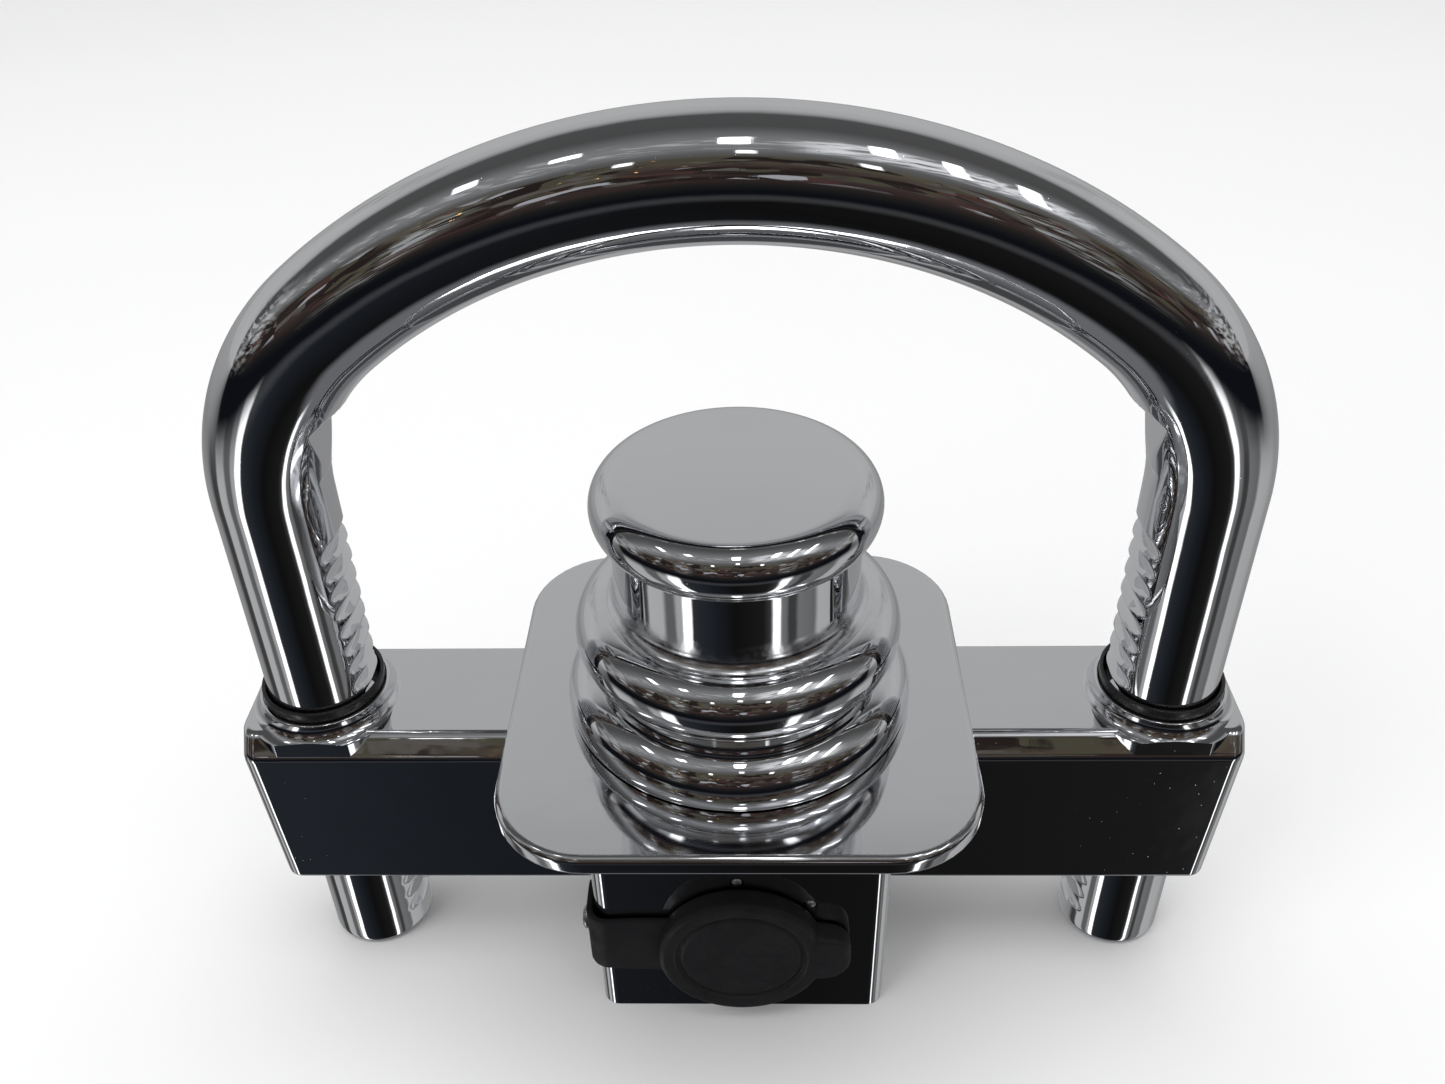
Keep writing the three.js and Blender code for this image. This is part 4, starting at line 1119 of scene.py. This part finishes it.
# Room colours by height: 0 is the back wall's foot, 90 overhead, 180 the front, 270 below.
HEIGHT_STOPS = [
    (0, 0.46), (30, 0.50), (47, 0.45), (53, 0.32), (59, 0.085), (84, 0.08), (92, 0.12),
    (104, 0.20), (112, 0.24), (122, 0.20), (131, 0.11), (139, (0.10, 0.088, 0.062)),
    (146, (0.075, 0.058, 0.045)), (152, (0.045, 0.030, 0.027)), (162, (0.055, 0.040, 0.036)),
    (171, (0.036, 0.025, 0.023)), (179, 0.014), (188, (0.0055, 0.006, 0.0085)),
    (242, (0.006, 0.0065, 0.009)), (254, 0.013), (265, 0.10), (288, 0.17), (320, 0.27), (356, 0.38),
]
# Bench colours below the horizon by bearing: 180 is straight ahead, 90 left and 270 right.
BENCH_STOPS = [
    (0, 0.40), (48, 0.30), (70, 0.26), (80, 0.05), (91, 0.06), (94, 0.48), (109, 0.46),
    (112, 0.13), (121, 0.13), (124, 0.42), (129, 0.40), (131, 2.2), (138, 2.2), (140, 0.035),
    (146, (0.022, 0.026, 0.032)), (162, (0.012, 0.014, 0.018)), (180, 0.006), (205, 0.012),
    (212, 0.05), (214, 1.9), (219, 1.9), (221, 0.19), (226, 0.17), (229, 0.05), (235, 0.055),
    (238, 0.19), (255, 0.15), (260, 0.46), (285, 0.42), (300, 0.30),
]
# Lamps: bearing as the direction's X, lowest and highest turn by height, half width, strength.
LAMPS = [
    (0.0, 0.289, 0.318, 0.034, 6.0), (-0.40, 0.290, 0.305, 0.030, 4.0),
    (-0.62, 0.270, 0.300, 0.022, 3.0), (0.34, 0.286, 0.320, 0.026, 5.0),
    (0.50, 0.280, 0.330, 0.020, 3.5), (0.66, 0.270, 0.335, 0.018, 3.0),
    (-0.24, 0.372, 0.384, 0.016, 2.5), (0.02, 0.350, 0.362, 0.020, 2.5),
    (0.28, 0.366, 0.382, 0.018, 2.0),
]
LAMP_EDGE_TURN, LAMP_EDGE_X = 0.004, 0.008
# Bands round the room, as turns by height: the silvery ceiling, the shelf and its warm sparks.
CEILING = (0.292, 0.345)
SHELF = (0.378, 0.475)
SPARKS = (0.375, 0.435)
BENCH_GREY = (0.16, 0.16, 0.17)
SILVER = (0.42, 0.42, 0.43)
GLARE = (0.85, 0.85, 0.87)
WARM = (3.0, 1.7, 0.5)
GOODS_STOPS = [
    (0, (0.022, 0.016, 0.015)), (130, (0.075, 0.068, 0.048)), (190, (0.075, 0.038, 0.034)),
    (240, (0.03, 0.022, 0.02)), (290, (0.11, 0.10, 0.09)), (338, (0.38, 0.38, 0.40)),
]
# Cloudy patches at both sides, as spans of the direction's X, and their colours.
SIDE_PATCHES = (((0.52, 0.65), (0.30, 0.31, 0.30)), ((0.94, 1.1), (0.5, 0.5, 0.5)))
# What the room gives to diffuse rays, and what the camera sees behind the object.
FILL = (0.55, 0.55, 0.55)
BACKDROP = (0.86, 0.86, 0.86)


def make_room():
    """Grey wall behind, lamps overhead, a shop floor in front, and benches at both sides."""
    sky = Sky()
    bend = sky.math("MULTIPLY", sky.math("SUBTRACT", sky.noise(2.6), 0.5), ROOM_BEND)
    around = sky.math("ADD", sky.turns(sky.z, sky.y), bend)
    sky.color = sky.ramp(around, HEIGHT_STOPS)
    bearing = sky.math("ADD", sky.turns(sky.x, sky.math("MULTIPLY", sky.y, -1.0), 0.5), bend)
    side = sky.math("ABSOLUTE", sky.x)
    below = sky.math("SUBTRACT", 1.0, sky.step(sky.z, -0.45, -0.2))
    sky.lay(below, BENCH_GREY)
    sky.lay(sky.both(below, sky.step(sky.z, -0.93, -0.84)), sky.ramp(bearing, BENCH_STOPS))

    inputs = {"Vector": sky.direction, "Scale": (1, 1, 5)}
    streaks = sky.node("ShaderNodeMapping", inputs).outputs["Vector"]
    inputs = {"Vector": streaks, "Scale": 9.0, "Detail": 6.0}
    grain = sky.node("ShaderNodeTexNoise", inputs).outputs["Fac"]
    silver = sky.window(around, *CEILING, 0.012)
    sky.lay(sky.both(silver, sky.step(grain, 0.48, 0.66)), SILVER)
    glare = sky.both(silver, sky.window(sky.x, 0.16, 0.75, 0.08), sky.step(grain, 0.36, 0.58))
    sky.lay(glare, GLARE)

    chosen = sky.node("ShaderNodeSeparateColor", {0: sky.cells(13.0, "Color")}).outputs[0]
    goods = sky.ramp(chosen, GOODS_STOPS, "CONSTANT")
    shelf = sky.window(around, *SHELF, 0.008)
    sky.lay(sky.both(shelf, sky.step(sky.noise(5.0, 4.0), 0.40, 0.52)), goods)
    for reach, color in SIDE_PATCHES:
        high_side = sky.both(sky.window(side, *reach, 0.05), sky.window(sky.z, 0.05, 0.5, 0.1))
        sky.lay(sky.both(high_side, sky.step(grain, 0.45, 0.6)), color)
    near = sky.math("SUBTRACT", 1.0, sky.step(sky.cells(17.0, "Distance"), 0.06, 0.11))
    warm = sky.both(sky.window(around, *SPARKS, 0.01), sky.window(sky.x, -0.8, -0.12, 0.05), near)
    sky.lay(warm, WARM)
    for x, low, high, half, strength in LAMPS:
        lamp = sky.both(
            sky.window(around, low, high, LAMP_EDGE_TURN),
            sky.window(sky.x, x - half, x + half, LAMP_EDGE_X),
        )
        sky.lay(lamp, (strength, strength, strength))
    rays = sky.node("ShaderNodeLightPath").outputs
    sky.lay(rays["Is Diffuse Ray"], FILL)
    sky.lay(rays["Is Camera Ray"], BACKDROP)
    sky.finish()


def make_light(name, place, aim, size, watts):
    light = bpy.data.lights.new(name, "AREA")
    light.shape = "DISK"
    light.size = size
    light.energy = watts
    made = bpy.data.objects.new(name, light)
    bpy.context.scene.collection.objects.link(made)
    made.location = place
    made.rotation_euler = (Vector(aim) - Vector(place)).to_track_quat("-Z", "Y").to_euler()
    made.visible_glossy = False


def make_stage():
    make_floor()
    make_room()
    make_light("overhead", (0.1, 0.1, 1.6), (0, 0, 0), 1.6, 15)
    make_light("key", (-0.9, -0.7, 1.1), (0, 0, 0.05), 0.9, 6)
    bpy.context.scene.view_settings.view_transform = "Standard"


# ---------------------------------------------------------------- assembly


# CAD nodes that keep their own shape, by material.
STEEL_NODES = [
    "post_bolt", "post_washer", "dowel_pin_left", "dowel_pin_right", "pawl_left", "pawl_right",
    "pawl_spring_left", "pawl_spring_right", "lock_cam", "cam_screw", "cylinder_clip",
]
BRASS_NODES = ["lock_cylinder", "key_plug"] + ["wafer_" + str(i) for i in range(1, 6)]


def give(objects, material):
    for made in objects:
        made.data.materials.clear()
        made.data.materials.append(material)


def main():
    make_camera()
    steel = [make_rivet(), make_face_pin(1), make_face_pin(2)]
    steel += [make_screw(i) for i in SCREWS]
    give([make_shackle()], chrome_bar())
    give([make_body()], chrome_casting())
    give([make_plate()], chrome_plate())
    give([make_post()], chrome_post())
    give([make_cover()], chrome_cover())
    give([make_seal(-1), make_seal(1)], seal_rubber())
    give([make_cap(), make_strap()], cap_rubber())
    steel += [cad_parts[name] for name in STEEL_NODES]
    give(steel, plated_steel())
    give([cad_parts[name] for name in BRASS_NODES], lock_brass())
    make_stage()


main()
